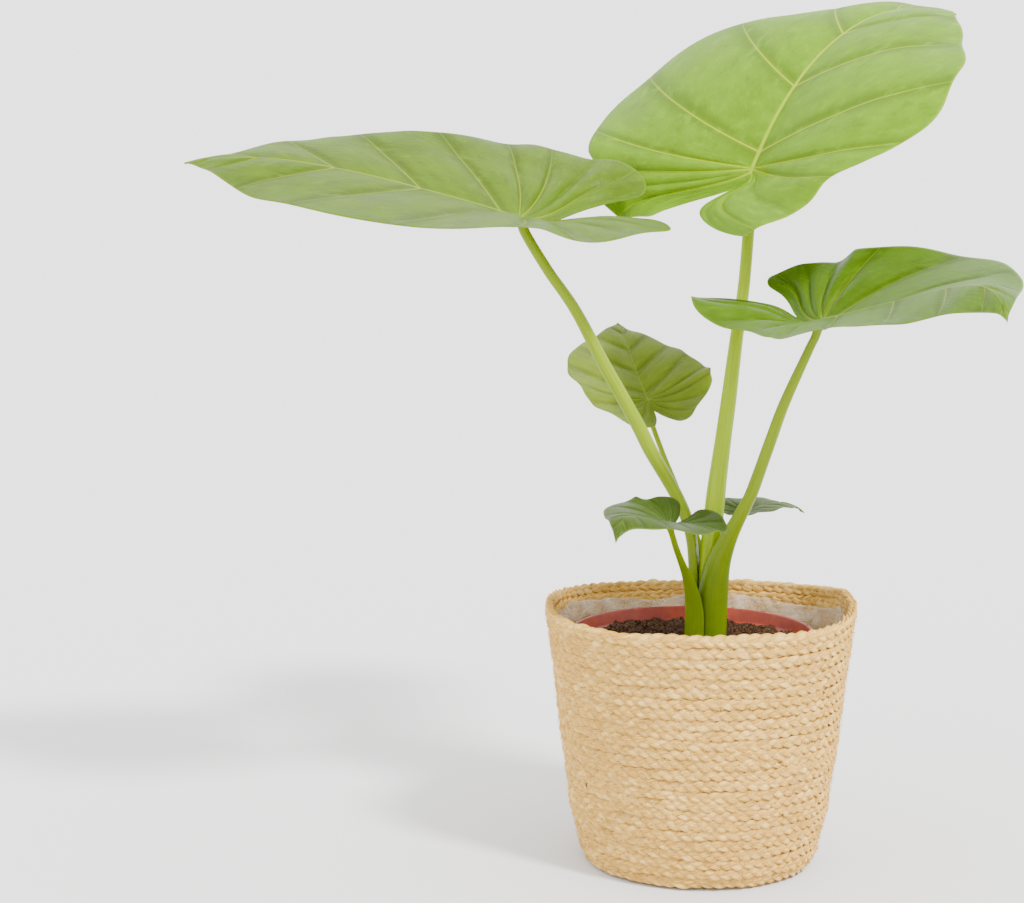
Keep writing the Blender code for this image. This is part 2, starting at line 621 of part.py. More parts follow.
def sheath_section(sheath, height):
    """A crescent about the shoot's axis, as points in order round it."""
    facing, spread, inner, thick, _, _ = sheath
    turn = (np.arange(SECTION_POINTS) + 0.5) * 360.0 / SECTION_POINTS
    turn = np.where(turn > 180, turn - 360, turn)
    front = np.abs(turn) < 90
    share = np.where(front, turn / 90, np.sign(turn) * (180 - np.abs(turn)) / 90)
    bearing = np.radians(facing + spread * share)
    edge = 0.0007 + (thick - 0.0007) * np.cos(np.radians(np.clip(turn, -90, 90))) ** 1.6
    radius = np.where(front, inner + edge, inner)
    x, y = shoot_axis(height)
    return np.stack([x + radius * np.cos(bearing), y + radius * np.sin(bearing)], axis=1)


def build_petiole(name, look, collection):
    spec = PETIOLES[name]
    blade = Blade(BLADES[spec["blade"]])
    hub_normal = blade.normal[blade.hub_index]
    end = np.array(BLADES[spec["blade"]]["hub"]) - hub_normal * HUB_CLEARANCE
    path = np.array(spec["path"] + [(*end, spec["path"][-1][3])])
    count = 2 * (len(path) - 1)
    params = np.linspace(0, len(path) - 1, count + 1)
    middle = spline(path, params)
    tangent = np.gradient(middle[:, :3], axis=0)
    tangent /= np.linalg.norm(tangent, axis=1)[:, None]
    facing = math.radians(spec["sheath"][0]) if spec["sheath"] else 0.0
    turn = facing + (np.arange(SECTION_POINTS) + 0.5) * 2 * math.pi / SECTION_POINTS
    rings = []
    for k in range(count + 1):
        centre, radius, along = middle[k, :3], middle[k, 3], tangent[k]
        share = smoothstep(count - 4.5, count, k)
        plane = np.array([0, 0, 1.0]) * (1 - share) + hub_normal * share
        side = np.cross([0, 1.0, 0], along)
        side /= np.linalg.norm(side)
        other = np.cross(along, side)
        ring = radius * (np.cos(turn)[:, None] * side + np.sin(turn)[:, None] * other)
        ring = centre + ring - along * (ring @ plane / (along @ plane))[:, None]
        if spec["sheath"]:
            weight = 1 - smoothstep(spec["sheath"][4], spec["sheath"][5], centre[2])
            if weight > 0:
                section = sheath_section(spec["sheath"], centre[2])
                ring[:, :2] = ring[:, :2] * (1 - weight) + section * weight
                ring[:, :2] = clear_of_shoot(ring[:, :2], centre[2], 4 * weight * (1 - weight))
        rings.append(ring)
    points, faces = capped_rings(rings, flat_ends=True)
    return solid(name, points, faces, look, collection)


def build():
    clear_scene()
    plant = new_collection("giant taro in a basket")
    cutters = new_collection("cutters", hidden=True)
    build_basket(material("straw", STRAW, 0.75), plant)
    build_liner(material("liner_film", LINER_GREY, 0.20), plant)
    build_pot(material("pot_plastic", TERRACOTTA, 0.45), plant, cutters)
    build_soil(material("soil_mix", SOIL_BROWN, 0.95), plant)
    build_corm(material("corm_skin", CORM_BROWN, 0.80), plant)
    greens = {"blade_left": OLIVE, "blade_top": LIME, "blade_right": MID_GREEN}
    for name in BLADES:
        build_blade(name, material(name + "_green", greens.get(name, GREY_GREEN), 0.38), plant)
    for name in PETIOLES:
        build_petiole(name, material(name + "_green", STALK_GREEN, 0.35), plant)


build()
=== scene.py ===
"""Looks of the giant taro in its plaited basket: finer leaves, stalks, braid, film, pot and soil."""

import math

import bpy
import numpy as np
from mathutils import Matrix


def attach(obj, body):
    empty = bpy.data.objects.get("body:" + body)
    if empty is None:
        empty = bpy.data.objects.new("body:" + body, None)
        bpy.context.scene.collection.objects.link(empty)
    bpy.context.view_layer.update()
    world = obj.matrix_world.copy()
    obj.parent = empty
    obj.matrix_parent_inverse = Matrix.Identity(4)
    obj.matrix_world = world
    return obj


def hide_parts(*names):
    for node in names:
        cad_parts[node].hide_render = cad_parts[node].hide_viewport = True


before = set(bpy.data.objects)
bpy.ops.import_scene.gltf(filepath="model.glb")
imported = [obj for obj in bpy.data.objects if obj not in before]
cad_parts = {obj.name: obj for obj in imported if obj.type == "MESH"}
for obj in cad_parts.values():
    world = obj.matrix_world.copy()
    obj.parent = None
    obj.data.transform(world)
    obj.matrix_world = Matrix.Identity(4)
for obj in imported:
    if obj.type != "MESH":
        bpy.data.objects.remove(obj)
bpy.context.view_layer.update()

# Shape of the part, repeated here in metres
BASKET_HEIGHT = 0.2014
BASKET_ROWS = 25
BASKET_WALL = 0.0058
BASKET_FLOOR = 0.008
BASKET_LEVELS = [0.0, 0.004, 0.0116, 0.0445, 0.109, 0.153, 0.2014]
BASKET_RADII = [0.085, 0.0905, 0.0945, 0.102, 0.1105, 0.1155, 0.1222]
RIM_LIFT_RIGHT = 0.008
RIM_LIFT_LEFT = 0.0045
RIM_SQUARENESS = 0.4
ROW_LOW = 0.0022
LINER_TOP = 0.189
POT_CENTRE = (-0.006, 0.002)
POT_BOTTOM = 0.01
POT_TOP = 0.1835
POT_RIM_RADIUS = 0.095
POT_TOP_RADIUS = 0.0912
POT_BASE_RADIUS = 0.07
POT_WALL = 0.0013
POT_LIP = 0.011
SOIL_TOP = 0.1735
SHOOT_CENTRE = (0.0042, 0.0000)

# Finer detail than the part has
SECTION_POINTS = 44
STRAND_STEPS = 18
PLAIT_LENGTH = 0.0275
STRAND_HALF_WIDTH = 0.0029
STRAND_HALF_THICK = 0.00112
FIBRES = 12500
CRUMBS = 4200

# Leaves: lengths in metres, angles in degrees
BLADE_THICK = 0.0008
HUB_CLEARANCE = 0.0009
VEINS = 12
DRAWN_VEINS = (1, 2, 3, 4, 5, 6, 7, 9)
VEIN_CROWDING = 0.55
PANEL_RISE = 0.0024
MARGIN_WAVE = 0.0032
MARGIN_SCALLOP = 0.026
VEIN_GROOVE = 0.001
LEAF_WARP = 0.0016
NET_STEP = 0.0075
FULL_LEAF = 0.29
WELD_DISTANCE = 0.00002
LOBE_REACH = 1.5
HUB_ORDER = 0.335
FULLER_AT = [0.14, 0.3, 0.48, 0.64, 0.78]

# Half a leaf's margin from the tip to the notch, as shares of its length and width
OUTLINE = [
    (1.00, 0.000), (0.94, 0.06), (0.8, 0.27), (0.61, 0.57), (0.37, 0.85), (0.12, 0.985),
    (-0.12, 1.000), (-0.42, 0.93), (-0.72, 0.78), (-0.94, 0.57), (-1.00, 0.38), (-0.9, 0.2),
    (-0.66, 0.105), (-0.42, 0.035), (-0.28, 0.000),
]

# The first lines place and bend each blade as the part does. The last sets its swell, the wave of
# its margin, the width of its midrib, and how many points it has from vein to vein and across
BLADES = {
    "blade_left": dict(
        hub=(-0.1388, -0.03, 0.506), heading=194.1, pitch=16.2, roll=-18.8, bend=-26.3, bend_power=2.5,
        swerve=-40.0, twist=-5.8, trough=15.0, trough_tip=-17.3, curl=-3.4, curl_tip=23.2, lobe_bend=30.2,
        length=0.2818, left=0.1241, right=0.1249, lobe=0.1057, sway=-0.03, lobes=(0.105, 0.117),
        fuller=((0.0, 0.005, -0.21, 0.045, 0.02), (0.015, -0.145, -0.06, 0.07, 0.13)),
        relief=1.7, wave=0.8, rib=0.002, fine=(12, 40),
    ),
    "blade_top": dict(
        hub=(0.0369, 0.03, 0.5424), heading=44.7, pitch=60.9, roll=4.3, bend=-72.8, bend_power=1.34,
        swerve=-5.3, twist=7.0, trough=21.2, trough_tip=-0.3, curl=-28.2, curl_tip=-7.9, lobe_bend=16.9,
        length=0.2872, left=0.1728, right=0.168, lobe=0.071, sway=0.042, lobes=(0.067, 0.074),
        fuller=((0.055, 0.08, -0.13, -0.11, 0.28), (0.105, 0.0, -0.31, -0.2, -0.05)),
        relief=1.2, wave=1.2, rib=0.003, fine=(12, 44),
    ),
    "blade_right": dict(
        hub=(0.088, -0.045, 0.4297), heading=-36.6, pitch=13.0, roll=22.3, bend=-54.9, bend_power=3.93,
        swerve=-51.6, twist=-9.1, trough=12.6, trough_tip=-38.0, curl=7.5, curl_tip=30.0, lobe_bend=45.4,
        length=0.2466, left=0.0842, right=0.0881, lobe=0.0961, sway=0.026, lobes=(0.085, 0.101),
        fuller=((-0.12, 0.07, -0.05, -0.075, -0.03), (0.18, -0.01, -0.35, -0.12, 0.0)),
        relief=1.3, wave=0.8, rib=0.002, fine=(12, 36),
    ),
    "blade_back": dict(
        hub=(-0.0436, 0.066, 0.3573), heading=117.0, pitch=40.7, roll=-13.8, bend=-33.6, bend_power=3.24,
        swerve=-16.8, twist=20.4, trough=22.8, trough_tip=-12.3, curl=12.1, curl_tip=-3.6, lobe_bend=28.0,
        length=0.111, left=0.0669, right=0.0553, lobe=0.0457, sway=-0.002, lobes=(0.048, 0.0475),
        fuller=((0.01, 0.04, -0.055, 0.0, 0.095), (0.0, -0.115, 0.05, -0.035, 0.01)),
        relief=0.8, wave=0.5, rib=0.0022, fine=(8, 26),
    ),
    "blade_front": dict(
        hub=(-0.0247, -0.052, 0.2746), heading=232.7, pitch=14.5, roll=-12.4, bend=-102.9, bend_power=4.55,
        swerve=24.0, twist=11.9, trough=17.9, trough_tip=-23.9, curl=-12.7, curl_tip=0.6, lobe_bend=75.0,
        length=0.0932, left=0.047, right=0.0399, lobe=0.0309, sway=0.0, lobes=(0.0295, 0.0345),
        fuller=((0.0, 0.02, 0.045, 0.045, -0.03), (-0.2, 0.0, 0.02, 0.02, 0.0)),
        relief=0.5, wave=0.4, rib=0.0022, fine=(8, 22),
    ),
    "blade_low_back": dict(
        hub=(0.035, 0.05, 0.27), heading=38.0, pitch=14.0, roll=4.0, bend=-60.0, bend_power=2.2,
        swerve=-10.0, twist=0.0, trough=14.0, trough_tip=-12.0, curl=-4.0, curl_tip=0.0, lobe_bend=30.0,
        length=0.062, left=0.028, right=0.028, lobe=0.027, sway=0.0, lobes=(0.027, 0.027),
        fuller=((0.0,) * 5, (0.0,) * 5),
        relief=0.3, wave=0.3, rib=0.0022, fine=(6, 14),
    ),
}

# Each path point is (x, y, z, radius). A sheath is the way it faces, its spread to each side, its
# inner radius, its thickness, and the heights between which it leaves the middle stalk
PETIOLES = {
    "petiole_top": dict(
        path=[
            (0.0042, 0.0, 0.1405, 0.0085), (0.005, 0.0, 0.178, 0.0085), (0.007, 0.0, 0.239, 0.0081),
            (0.0105, 0.0, 0.282, 0.0077), (0.0125, 0.001, 0.302, 0.0072), (0.0165, 0.003, 0.334, 0.0064),
            (0.0205, 0.007, 0.365, 0.006), (0.026, 0.014, 0.412, 0.0052), (0.0312, 0.021, 0.451, 0.0047),
            (0.0347, 0.028, 0.497, 0.0046),
        ],
        blade="blade_top", sheath=None,
    ),
    "petiole_left": dict(
        path=[
            (-0.003, 0.0, 0.1405, 0.006), (-0.004, 0.0, 0.2, 0.0062), (-0.0115, 0.0, 0.25, 0.0062),
            (-0.0255, -0.002, 0.291, 0.0059), (-0.0465, -0.006, 0.339, 0.0055),
            (-0.0755, -0.013, 0.392, 0.0049), (-0.098, -0.019, 0.435, 0.0043),
            (-0.119, -0.025, 0.466, 0.004), (-0.1357, -0.0297, 0.494, 0.0039),
        ],
        blade="blade_left", sheath=(170.0, 40.0, 0.0094, 0.0064, 0.2, 0.33),
    ),
    "petiole_right": dict(
        path=[
            (0.012, -0.009, 0.1405, 0.006), (0.013, -0.009, 0.177, 0.006), (0.0172, -0.011, 0.222, 0.006),
            (0.0246, -0.015, 0.252, 0.0056), (0.035, -0.02, 0.284, 0.0051), (0.0442, -0.025, 0.312, 0.0047),
            (0.053, -0.03, 0.339, 0.0045), (0.0625, -0.035, 0.367, 0.0041),
            (0.0795, -0.0415, 0.407, 0.0034), (0.084, -0.0435, 0.417, 0.0033),
        ],
        blade="blade_right", sheath=(-50.0, 98.0, 0.0094, 0.0086, 0.205, 0.3),
    ),
    "petiole_back": dict(
        path=[
            (0.003, 0.0125, 0.1405, 0.0026), (0.0, 0.014, 0.2, 0.0026), (-0.006, 0.0235, 0.245, 0.0025),
            (-0.018, 0.0405, 0.285, 0.0023), (-0.031, 0.0565, 0.315, 0.0021),
            (-0.0415, 0.0675, 0.342, 0.0021),
        ],
        blade="blade_back", sheath=(101.0, 24.0, 0.0094, 0.005, 0.19, 0.29),
    ),
    "petiole_front": dict(
        path=[
            (-0.0105, -0.0125, 0.1405, 0.0028), (-0.0115, -0.0145, 0.19, 0.0028),
            (-0.0135, -0.023, 0.222, 0.0027), (-0.0175, -0.035, 0.247, 0.0025),
            (-0.0215, -0.045, 0.264, 0.0023),
        ],
        blade="blade_front", sheath=(222.0, 42.0, 0.0162, 0.0036, 0.19, 0.258),
    ),
    "petiole_low_back": dict(
        path=[
            (0.011, 0.0115, 0.1405, 0.002), (0.0125, 0.013, 0.19, 0.002), (0.019, 0.024, 0.225, 0.0019),
            (0.028, 0.038, 0.252, 0.0018), (0.0335, 0.0465, 0.264, 0.0018),
        ],
        blade="blade_low_back", sheath=(63.0, 9.0, 0.0094, 0.005, 0.18, 0.23),
    ),
}

# Light: the floor is as bright as the sky behind it, so no horizon shows
SKY = 2.8
SUN = 5.8
SUN_SLANT = 0.7071
FLOOR_GREY = SKY / (SKY + SUN * SUN_SLANT / math.pi)

# Camera, as fitted to the photo's own pixels
CAMERA_PLACE = (0.0, -1.6, 0.506)
CAMERA_TILT = 83.5
SENSOR_WIDTH = 36.0
PICTURE_WIDTH = 1024.0
FOCAL_PIXELS = 2051.0
VERTICAL_AT = 703

# Leaf looks, in linear colour: slot, leaf green, vein green, roughness and strength of the veins
LEAF_LOOKS = {
    "blade_left": ("leaf_olive", (0.06, 0.112, 0.0006), (0.25, 0.33, 0.014), 0.42, 0.5),
    "blade_top": ("leaf_lime", (0.096, 0.198, 0.0001), (0.36, 0.48, 0.002), 0.46, 0.62),
    "blade_right": ("leaf_mid", (0.052, 0.11, 0.0003), (0.24, 0.33, 0.012), 0.42, 0.48),
    "blade_back": ("leaf_grey", (0.112, 0.16, 0.006), (0.22, 0.29, 0.05), 0.45, 0.5),
    "blade_front": ("leaf_grey", (0.034, 0.064, 0.003), (0.2, 0.27, 0.05), 0.45, 0.5),
    "blade_low_back": ("leaf_grey", (0.05, 0.085, 0.008), (0.2, 0.27, 0.05), 0.45, 0.5),
}
STALK_GREEN = (0.15, 0.225, 0.0002)
STALK_MIDDLE = (0.18, 0.26, 0.0003)
STALK_PALE = (0.215, 0.295, 0.0004)
STALK_FOOT = (0.075, 0.135, 0.0002)
SHEATH_WING = (0.15, 0.21, 0.002)


# Numbers and meshes


def smoothstep(low, high, value):
    t = np.clip((value - low) / (high - low), 0.0, 1.0)
    return t * t * (3.0 - 2.0 * t)


def spline(points, params):
    points = np.asarray(points, float)
    ends = np.vstack([2 * points[0] - points[1], points, 2 * points[-1] - points[-2]])
    params = np.clip(np.asarray(params, float), 0.0, len(points) - 1.0)
    k = np.minimum(params.astype(int), len(points) - 2)
    t = (params - k)[:, None]
    a, b, c, d = ends[k], ends[k + 1], ends[k + 2], ends[k + 3]
    return 0.5 * (2 * b + (c - a) * t + (2 * a - 5 * b + 4 * c - d) * t**2 + (3 * b - a - 3 * c + d) * t**3)


def value_noise(x, seed):
    """Smooth noise from -1 to 1 along one number, the same on each run."""
    base = np.floor(x)
    t = x - base
    t = t * t * (3 - 2 * t)
    rough = lambda n: 2 * np.modf(np.abs(np.sin(n * 12.9898 + seed * 78.233) * 43758.5453))[0] - 1
    return rough(base) * (1 - t) + rough(base + 1) * t


def grid_faces(rows, columns, wrap=False, first=0):
    """Quads of a grid of rows by columns of points."""
    i = np.arange(rows - 1)[:, None]
    j = np.arange(columns if wrap else columns - 1)[None, :]
    k = (j + 1) % columns
    a, b = first + i * columns + j, first + i * columns + k
    return np.stack([a, b, b + columns, a + columns], axis=-1).reshape(-1, 4)


def round_angles(count):
    return np.arange(count) * 2 * math.pi / count


def end_caps(count, around):
    """The first and the last ring of a stack of rings, each as one face."""
    return [tuple(range(around))[::-1], tuple(range(count - around, count))]


def scaled(colour, gain, more=0.0):
    return tuple(c * gain + more for c in colour)


def placed(name, data):
    obj = bpy.data.objects.new(name, data)
    bpy.context.scene.collection.objects.link(obj)
    return obj


def piece(name, points, faces, look, replaced=(), attributes=None, smooth=True, tris=None):
    """A mesh object that rides on the body, from points, quads and other faces."""
    mesh = bpy.data.meshes.new(name)
    lists = [tuple(int(k) for k in f) for f in faces]
    lists += [tuple(int(k) for k in f) for f in (tris if tris is not None else [])]
    mesh.from_pydata([tuple(p) for p in np.asarray(points, float)], [], lists)
    mesh.materials.append(look)
    if smooth:
        mesh.shade_smooth()
    for key, values in (attributes or {}).items():
        layer = mesh.attributes.new(key, "FLOAT", "POINT")
        layer.data.foreach_set("value", np.asarray(values, np.float32).ravel())
    obj = placed(name, mesh)
    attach(obj, "root")
    for node in replaced:
        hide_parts(node)
    return obj


# Shader helpers


class Shader:
    """A material's node tree, with short calls for the nodes used here."""

    def __init__(self, name, roughness=0.5, specular=0.5):
        self.material = bpy.data.materials.new(name)
        self.material.use_nodes = True
        self.tree = self.material.node_tree
        self.out = self.tree.nodes["Principled BSDF"]
        self.out.inputs["Roughness"].default_value = roughness
        self.out.inputs["Specular IOR Level"].default_value = specular

    def put(self, value, socket):
        if isinstance(value, bpy.types.NodeSocket):
            self.tree.links.new(value, socket)
        elif isinstance(value, tuple) and socket.type == "RGBA":
            socket.default_value = (*value[:3], 1.0)
        else:
            socket.default_value = value

    def node(self, kind, *values):
        """A new node with these values or links on its first sockets."""
        node = self.tree.nodes.new("ShaderNode" + kind)
        for value, socket in zip(values, node.inputs):
            self.put(value, socket)
        return node

    def attribute(self, name):
        node = self.node("Attribute")
        node.attribute_name = name
        return node.outputs["Fac"]

    def math(self, kind, a, b=0.0, c=0.0):
        node = self.node("Math", a, b, c)
        node.operation = kind
        return node.outputs[0]

    def span(self, value, low, high, to_low=0.0, to_high=1.0):
        node = self.node("MapRange", value, low, high, to_low, to_high)
        node.interpolation_type = "SMOOTHSTEP"
        return node.outputs[0]

    def times(self, a, b):
        return self.math("MULTIPLY", a, b)

    def off_middle(self, value):
        """How far a number is from a half."""
        return self.math("ABSOLUTE", self.math("SUBTRACT", value, 0.5))

    def mix(self, factor, a, b):
        node = self.node("Mix")
        node.data_type = "RGBA"
        self.put(factor, node.inputs[0])
        self.put(a, node.inputs[6])
        self.put(b, node.inputs[7])
        return node.outputs[2]

    def place(self):
        return self.node("TexCoord").outputs["Object"]

    def vector(self, x, y, z=0.0):
        return self.node("CombineXYZ", x, y, z).outputs[0]

    def noise(self, scale, detail=3.0, rough=0.5, at=None, distortion=0.0):
        node = self.node("TexNoise")
        node.inputs["Scale"].default_value = scale
        node.inputs["Detail"].default_value = detail
        node.inputs["Roughness"].default_value = rough
        node.inputs["Distortion"].default_value = distortion
        self.put(at if at is not None else self.place(), node.inputs["Vector"])
        return node.outputs["Fac"]

    def bump(self, height, distance, strength=1.0):
        node = self.node("Bump")
        node.inputs["Strength"].default_value = strength
        node.inputs["Distance"].default_value = distance
        self.put(height, node.inputs["Height"])
        return node.outputs[0]

    def colour(self, value):
        self.put(value, self.out.inputs["Base Color"])

    def normal(self, value):
        self.put(value, self.out.inputs["Normal"])

    def rough(self, value):
        self.put(value, self.out.inputs["Roughness"])


# Leaf blades


class Blade:
    """The middle surface of a blade: a bent midrib with a curved arc across it on each side."""

    def __init__(self, spec):
        self.spec = spec
        lobe_part = np.linspace(-LOBE_REACH, 0.0, 44)[:-1]
        front_part = np.linspace(0.0, 1.0, 80)
        self.hub_index = len(lobe_part)
        pitch = math.radians(spec["pitch"])
        heading = math.radians(spec["heading"])
        bend = math.radians(spec["bend"]) * front_part ** spec["bend_power"]
        tilt = np.r_[pitch + math.radians(spec["lobe_bend"]) * lobe_part, pitch + bend]
        turn = np.r_[np.full(self.hub_index, heading), heading + math.radians(spec["swerve"]) * front_part]
        along = np.stack([np.cos(tilt) * np.cos(turn), np.cos(tilt) * np.sin(turn), np.sin(tilt)], axis=1)
        self.place = np.r_[lobe_part * spec["lobe"], front_part * spec["length"]]
        steps = np.diff(self.place)[:, None] * (along[1:] + along[:-1]) / 2
        middle = np.vstack([np.zeros(3), np.cumsum(steps, axis=0)])
        self.middle = middle - middle[self.hub_index] + np.array(spec["hub"])
        level = np.stack([-np.sin(turn), np.cos(turn), np.zeros(len(turn))], axis=1)
        upward = np.cross(along, level)
        roll = np.radians(spec["roll"] + spec["twist"] * np.clip(self.place / spec["length"], 0, 1))[:, None]
        self.across = level * np.cos(roll) + upward * np.sin(roll)
        self.normal = upward * np.cos(roll) - level * np.sin(roll)

    def at(self, u, v):
        """World points for distances u along the midrib from the hub and v to its left."""
        spec = self.spec
        pick = [np.stack([np.interp(u, self.place, a[:, k]) for k in range(3)], axis=-1)
                for a in (self.middle, self.across, self.normal)]
        share = np.clip(u / spec["length"], 0, 1)
        width = np.where(v > 0, spec["left"], spec["right"])
        start = np.radians(spec["trough"] + (spec["trough_tip"] - spec["trough"]) * share)
        rate = np.radians(spec["curl"] + spec["curl_tip"] * share) / width
        rate = np.where(np.abs(rate) < 1e-5, 1e-5, rate)
        reach = np.abs(v)
        out = (np.sin(start + rate * reach) - np.sin(start)) / rate
        rise = (np.cos(start) - np.cos(start + rate * reach)) / rate
        behind = np.clip((-u / spec["lobe"] - 0.05) / 1.2, 0, 1)
        sway = np.sin(np.pi * behind) ** 2 * np.exp(-((v / (0.6 * width)) ** 2))
        out = np.sign(v) * out + spec["sway"] * sway
        return pick[0] + pick[1] * out[..., None] + pick[2] * rise[..., None]

    def normal_at(self, u, v):
        step = 0.0004
        du = self.at(u + step, v) - self.at(u - step, v)
        dv = self.at(u, v + step) - self.at(u, v - step)
        normal = np.cross(du, dv)
        return normal / np.linalg.norm(normal, axis=-1, keepdims=True)


def margin(spec, side, order):
    """The margin of one half: the common outline with this half's own lobe and fullness."""
    half = 0 if side > 0 else 1
    width = (spec["left"], spec["right"])[half]
    edge = spline(OUTLINE, order * (len(OUTLINE) - 1))

    def ahead(along):
        return (along + np.sqrt(along * along + 0.03)) / 2

    share = (ahead(edge[:, 0]) - ahead(-1.0)) / (ahead(1.0) - ahead(-1.0))
    lobe = spec["lobes"][half] + (spec["lobe"] - spec["lobes"][half]) * smoothstep(0.72, 1.0, order)
    u = lobe * edge[:, 0] + (spec["length"] - lobe) * share
    fuller = 1.0
    for at, more in zip(FULLER_AT, spec["fuller"][half]):
        fuller = fuller + more * np.exp(-(((order - at) / 0.1) ** 2))
    notch = np.sin(math.pi * np.linspace(0, VEINS, len(order))) ** 2
    scallop = 1 + MARGIN_SCALLOP * notch * np.sin(math.pi * order) ** 0.5
    return u, side * width * edge[:, 1] * fuller * scallop, edge[:, 0]


def half_grid(spec, side, rows, columns):
    """Places (u, v) of one half, row by row from the tip round to the notch, and the rows' order."""
    place = np.linspace(0.0, 1.0, rows + 1)
    order = place * (VEIN_CROWDING + (1 - VEIN_CROWDING) * place)
    u_edge, v_edge, along = margin(spec, side, order)
    x = np.clip((along - 0.2) / 0.8, 0, 1)
    start = 0.003 * (1 - x) + spec["length"] * x**1.3 * (0.8 + 0.2 * x**3)
    behind = np.clip((order - HUB_ORDER) / (1 - HUB_ORDER), 0, 1)
    back = 0.3 * behind + 0.7 * behind**4
    start = np.where(order < HUB_ORDER, start, 0.003 + (u_edge[-1] - 0.003) * back)
    t = np.linspace(0.0, 1.0, columns + 1)
    du, dv = u_edge - start, v_edge
    sweep = 0.1 * np.sin(np.pi * np.clip(order * 1.25, 0, 1))
    hump = 2 * t[None, :] * (1 - t[None, :]) * sweep[:, None]
    u = start[:, None] + du[:, None] * t[None, :] - hump * np.abs(dv)[:, None]
    v = dv[:, None] * t[None, :] + hump * (side * du)[:, None] * 0.5
    return u, v, order, t


def blade_relief(spec, order, t, side):
    """Panels swell between the veins, and the margin waves with them."""
    phase = np.linspace(0.0, VEINS, len(order))[:, None]
    swell = np.abs(np.sin(math.pi * phase)) ** 0.8
    behind = np.clip((order[:, None] - HUB_ORDER) / (1 - HUB_ORDER), 0, 1)
    t = t[None, :]
    panels = PANEL_RISE * swell * np.sin(math.pi * np.clip(t, 0, 1) ** (0.8 + 1.6 * behind))
    wave = MARGIN_WAVE * np.sin(2 * math.pi * (phase * 0.5 + 0.17 * side)) * t**3
    fade = np.sin(math.pi * np.clip(order, 0, 1)) ** 0.6 * (1 - smoothstep(0.68, 0.86, order))
    return fade[:, None] * (spec["relief"] * panels + spec["wave"] * wave)


def nearest_line(u, v, line_u, line_v):
    """Distance of each place to a polyline in the flat blade."""
    best = np.full(u.shape, 1e9)
    for a, b, c, d in zip(line_u[:-1], line_v[:-1], line_u[1:], line_v[1:]):
        x, y = c - a, d - b
        share = np.clip(((u - a) * x + (v - b) * y) / (x * x + y * y + 1e-12), 0, 1)
        best = np.minimum(best, np.hypot(u - a - share * x, v - b - share * y))
    return best


def vein_fields(spec, side, size, u, v, t):
    """Distances to the drawn veins and to the midrib, in line widths, and the fields for the colours."""
    per_vein = spec["fine"][0]
    distance = np.full(u.shape, 1e9)
    for k in DRAWN_VEINS:
        i = k * per_vein
        distance = np.minimum(distance, nearest_line(u, v, u[i], v[i]))
    taper = (0.00095 - 0.0007 * t) * max(size, 0.45) ** 0.7
    rib_width = spec["rib"] * max(size, 0.4) * (1 - 0.85 * np.clip(u / spec["length"], 0, 1))
    rib = np.where(u < 0, np.hypot(v, 0.6 * u), np.abs(v)) / rib_width
    phase = np.linspace(0.0, VEINS, VEINS * per_vein + 1)[:, None]
    row_length = np.hypot(u[:, -1:] - u[:, :1], v[:, -1:])
    reach = t * row_length
    frac = np.abs(phase - np.floor(phase) - 0.5)
    net = reach / (NET_STEP * max(size, 0.5)) + frac * 2.4 + side * 0.3
    fields = {"vein": distance / taper, "rib": rib, "edge": (1 - t) * row_length, "net": net}
    fields.update(reach=reach, phase=phase)
    return {key: np.broadcast_to(value, u.shape) for key, value in fields.items()}


def blade_sheets(spec, side, size, u, v, order, t, fields):
    """The upper and the lower face of one half, with its relief, veins and thickness."""
    blade = Blade(spec)
    vein, rib = fields["vein"], fields["rib"]
    normal = blade.normal_at(u, np.where(np.abs(v) < 0.001, side * 0.001, v))
    spine = np.stack([np.interp(u[:, 0], blade.place, blade.normal[:, k]) for k in range(3)], axis=-1)
    blend = np.clip(np.abs(v) / 0.002, 0, 1)[..., None]
    normal = normal * blend + spine[:, None, :] * (1 - blend)
    normal[0, :] = spine[0]
    normal /= np.linalg.norm(normal, axis=-1, keepdims=True)
    height = blade_relief(spec, order, t[0], side) * smoothstep(0.01, 0.13, order)[:, None]
    ripple = 0.00005 * np.cos(2 * math.pi * fields["net"]) * np.sin(math.pi * t) * spec["relief"]
    ripple = ripple * np.clip(np.minimum(vein, rib) / 4, 0, 1)
    warp = value_noise(u / 0.035 + 5 * side, 3.1) * value_noise(v / 0.03 + 2.2, 7.7)
    warp = LEAF_WARP * warp * t**2 * spec["relief"]
    groove = -VEIN_GROOVE * np.exp(-((vein * 0.45) ** 2)) * np.sin(math.pi * np.clip(t, 0, 1) ** 0.6)
    middle = blade.at(u, v) + normal * (height + ripple + groove + warp)[..., None]
    stem = 0.00075 * max(size, 0.4) * np.exp(-((rib * 0.9) ** 2))
    stem = stem + 0.0004 * size * np.exp(-((vein * 0.7) ** 2))
    half_thick = BLADE_THICK / 2 * (1 - 0.55 * t**6)
    top = middle + normal * half_thick[..., None]
    low = middle - normal * (half_thick + stem * np.clip(fields["edge"] / 0.006, 0, 1))[..., None]
    return top, low


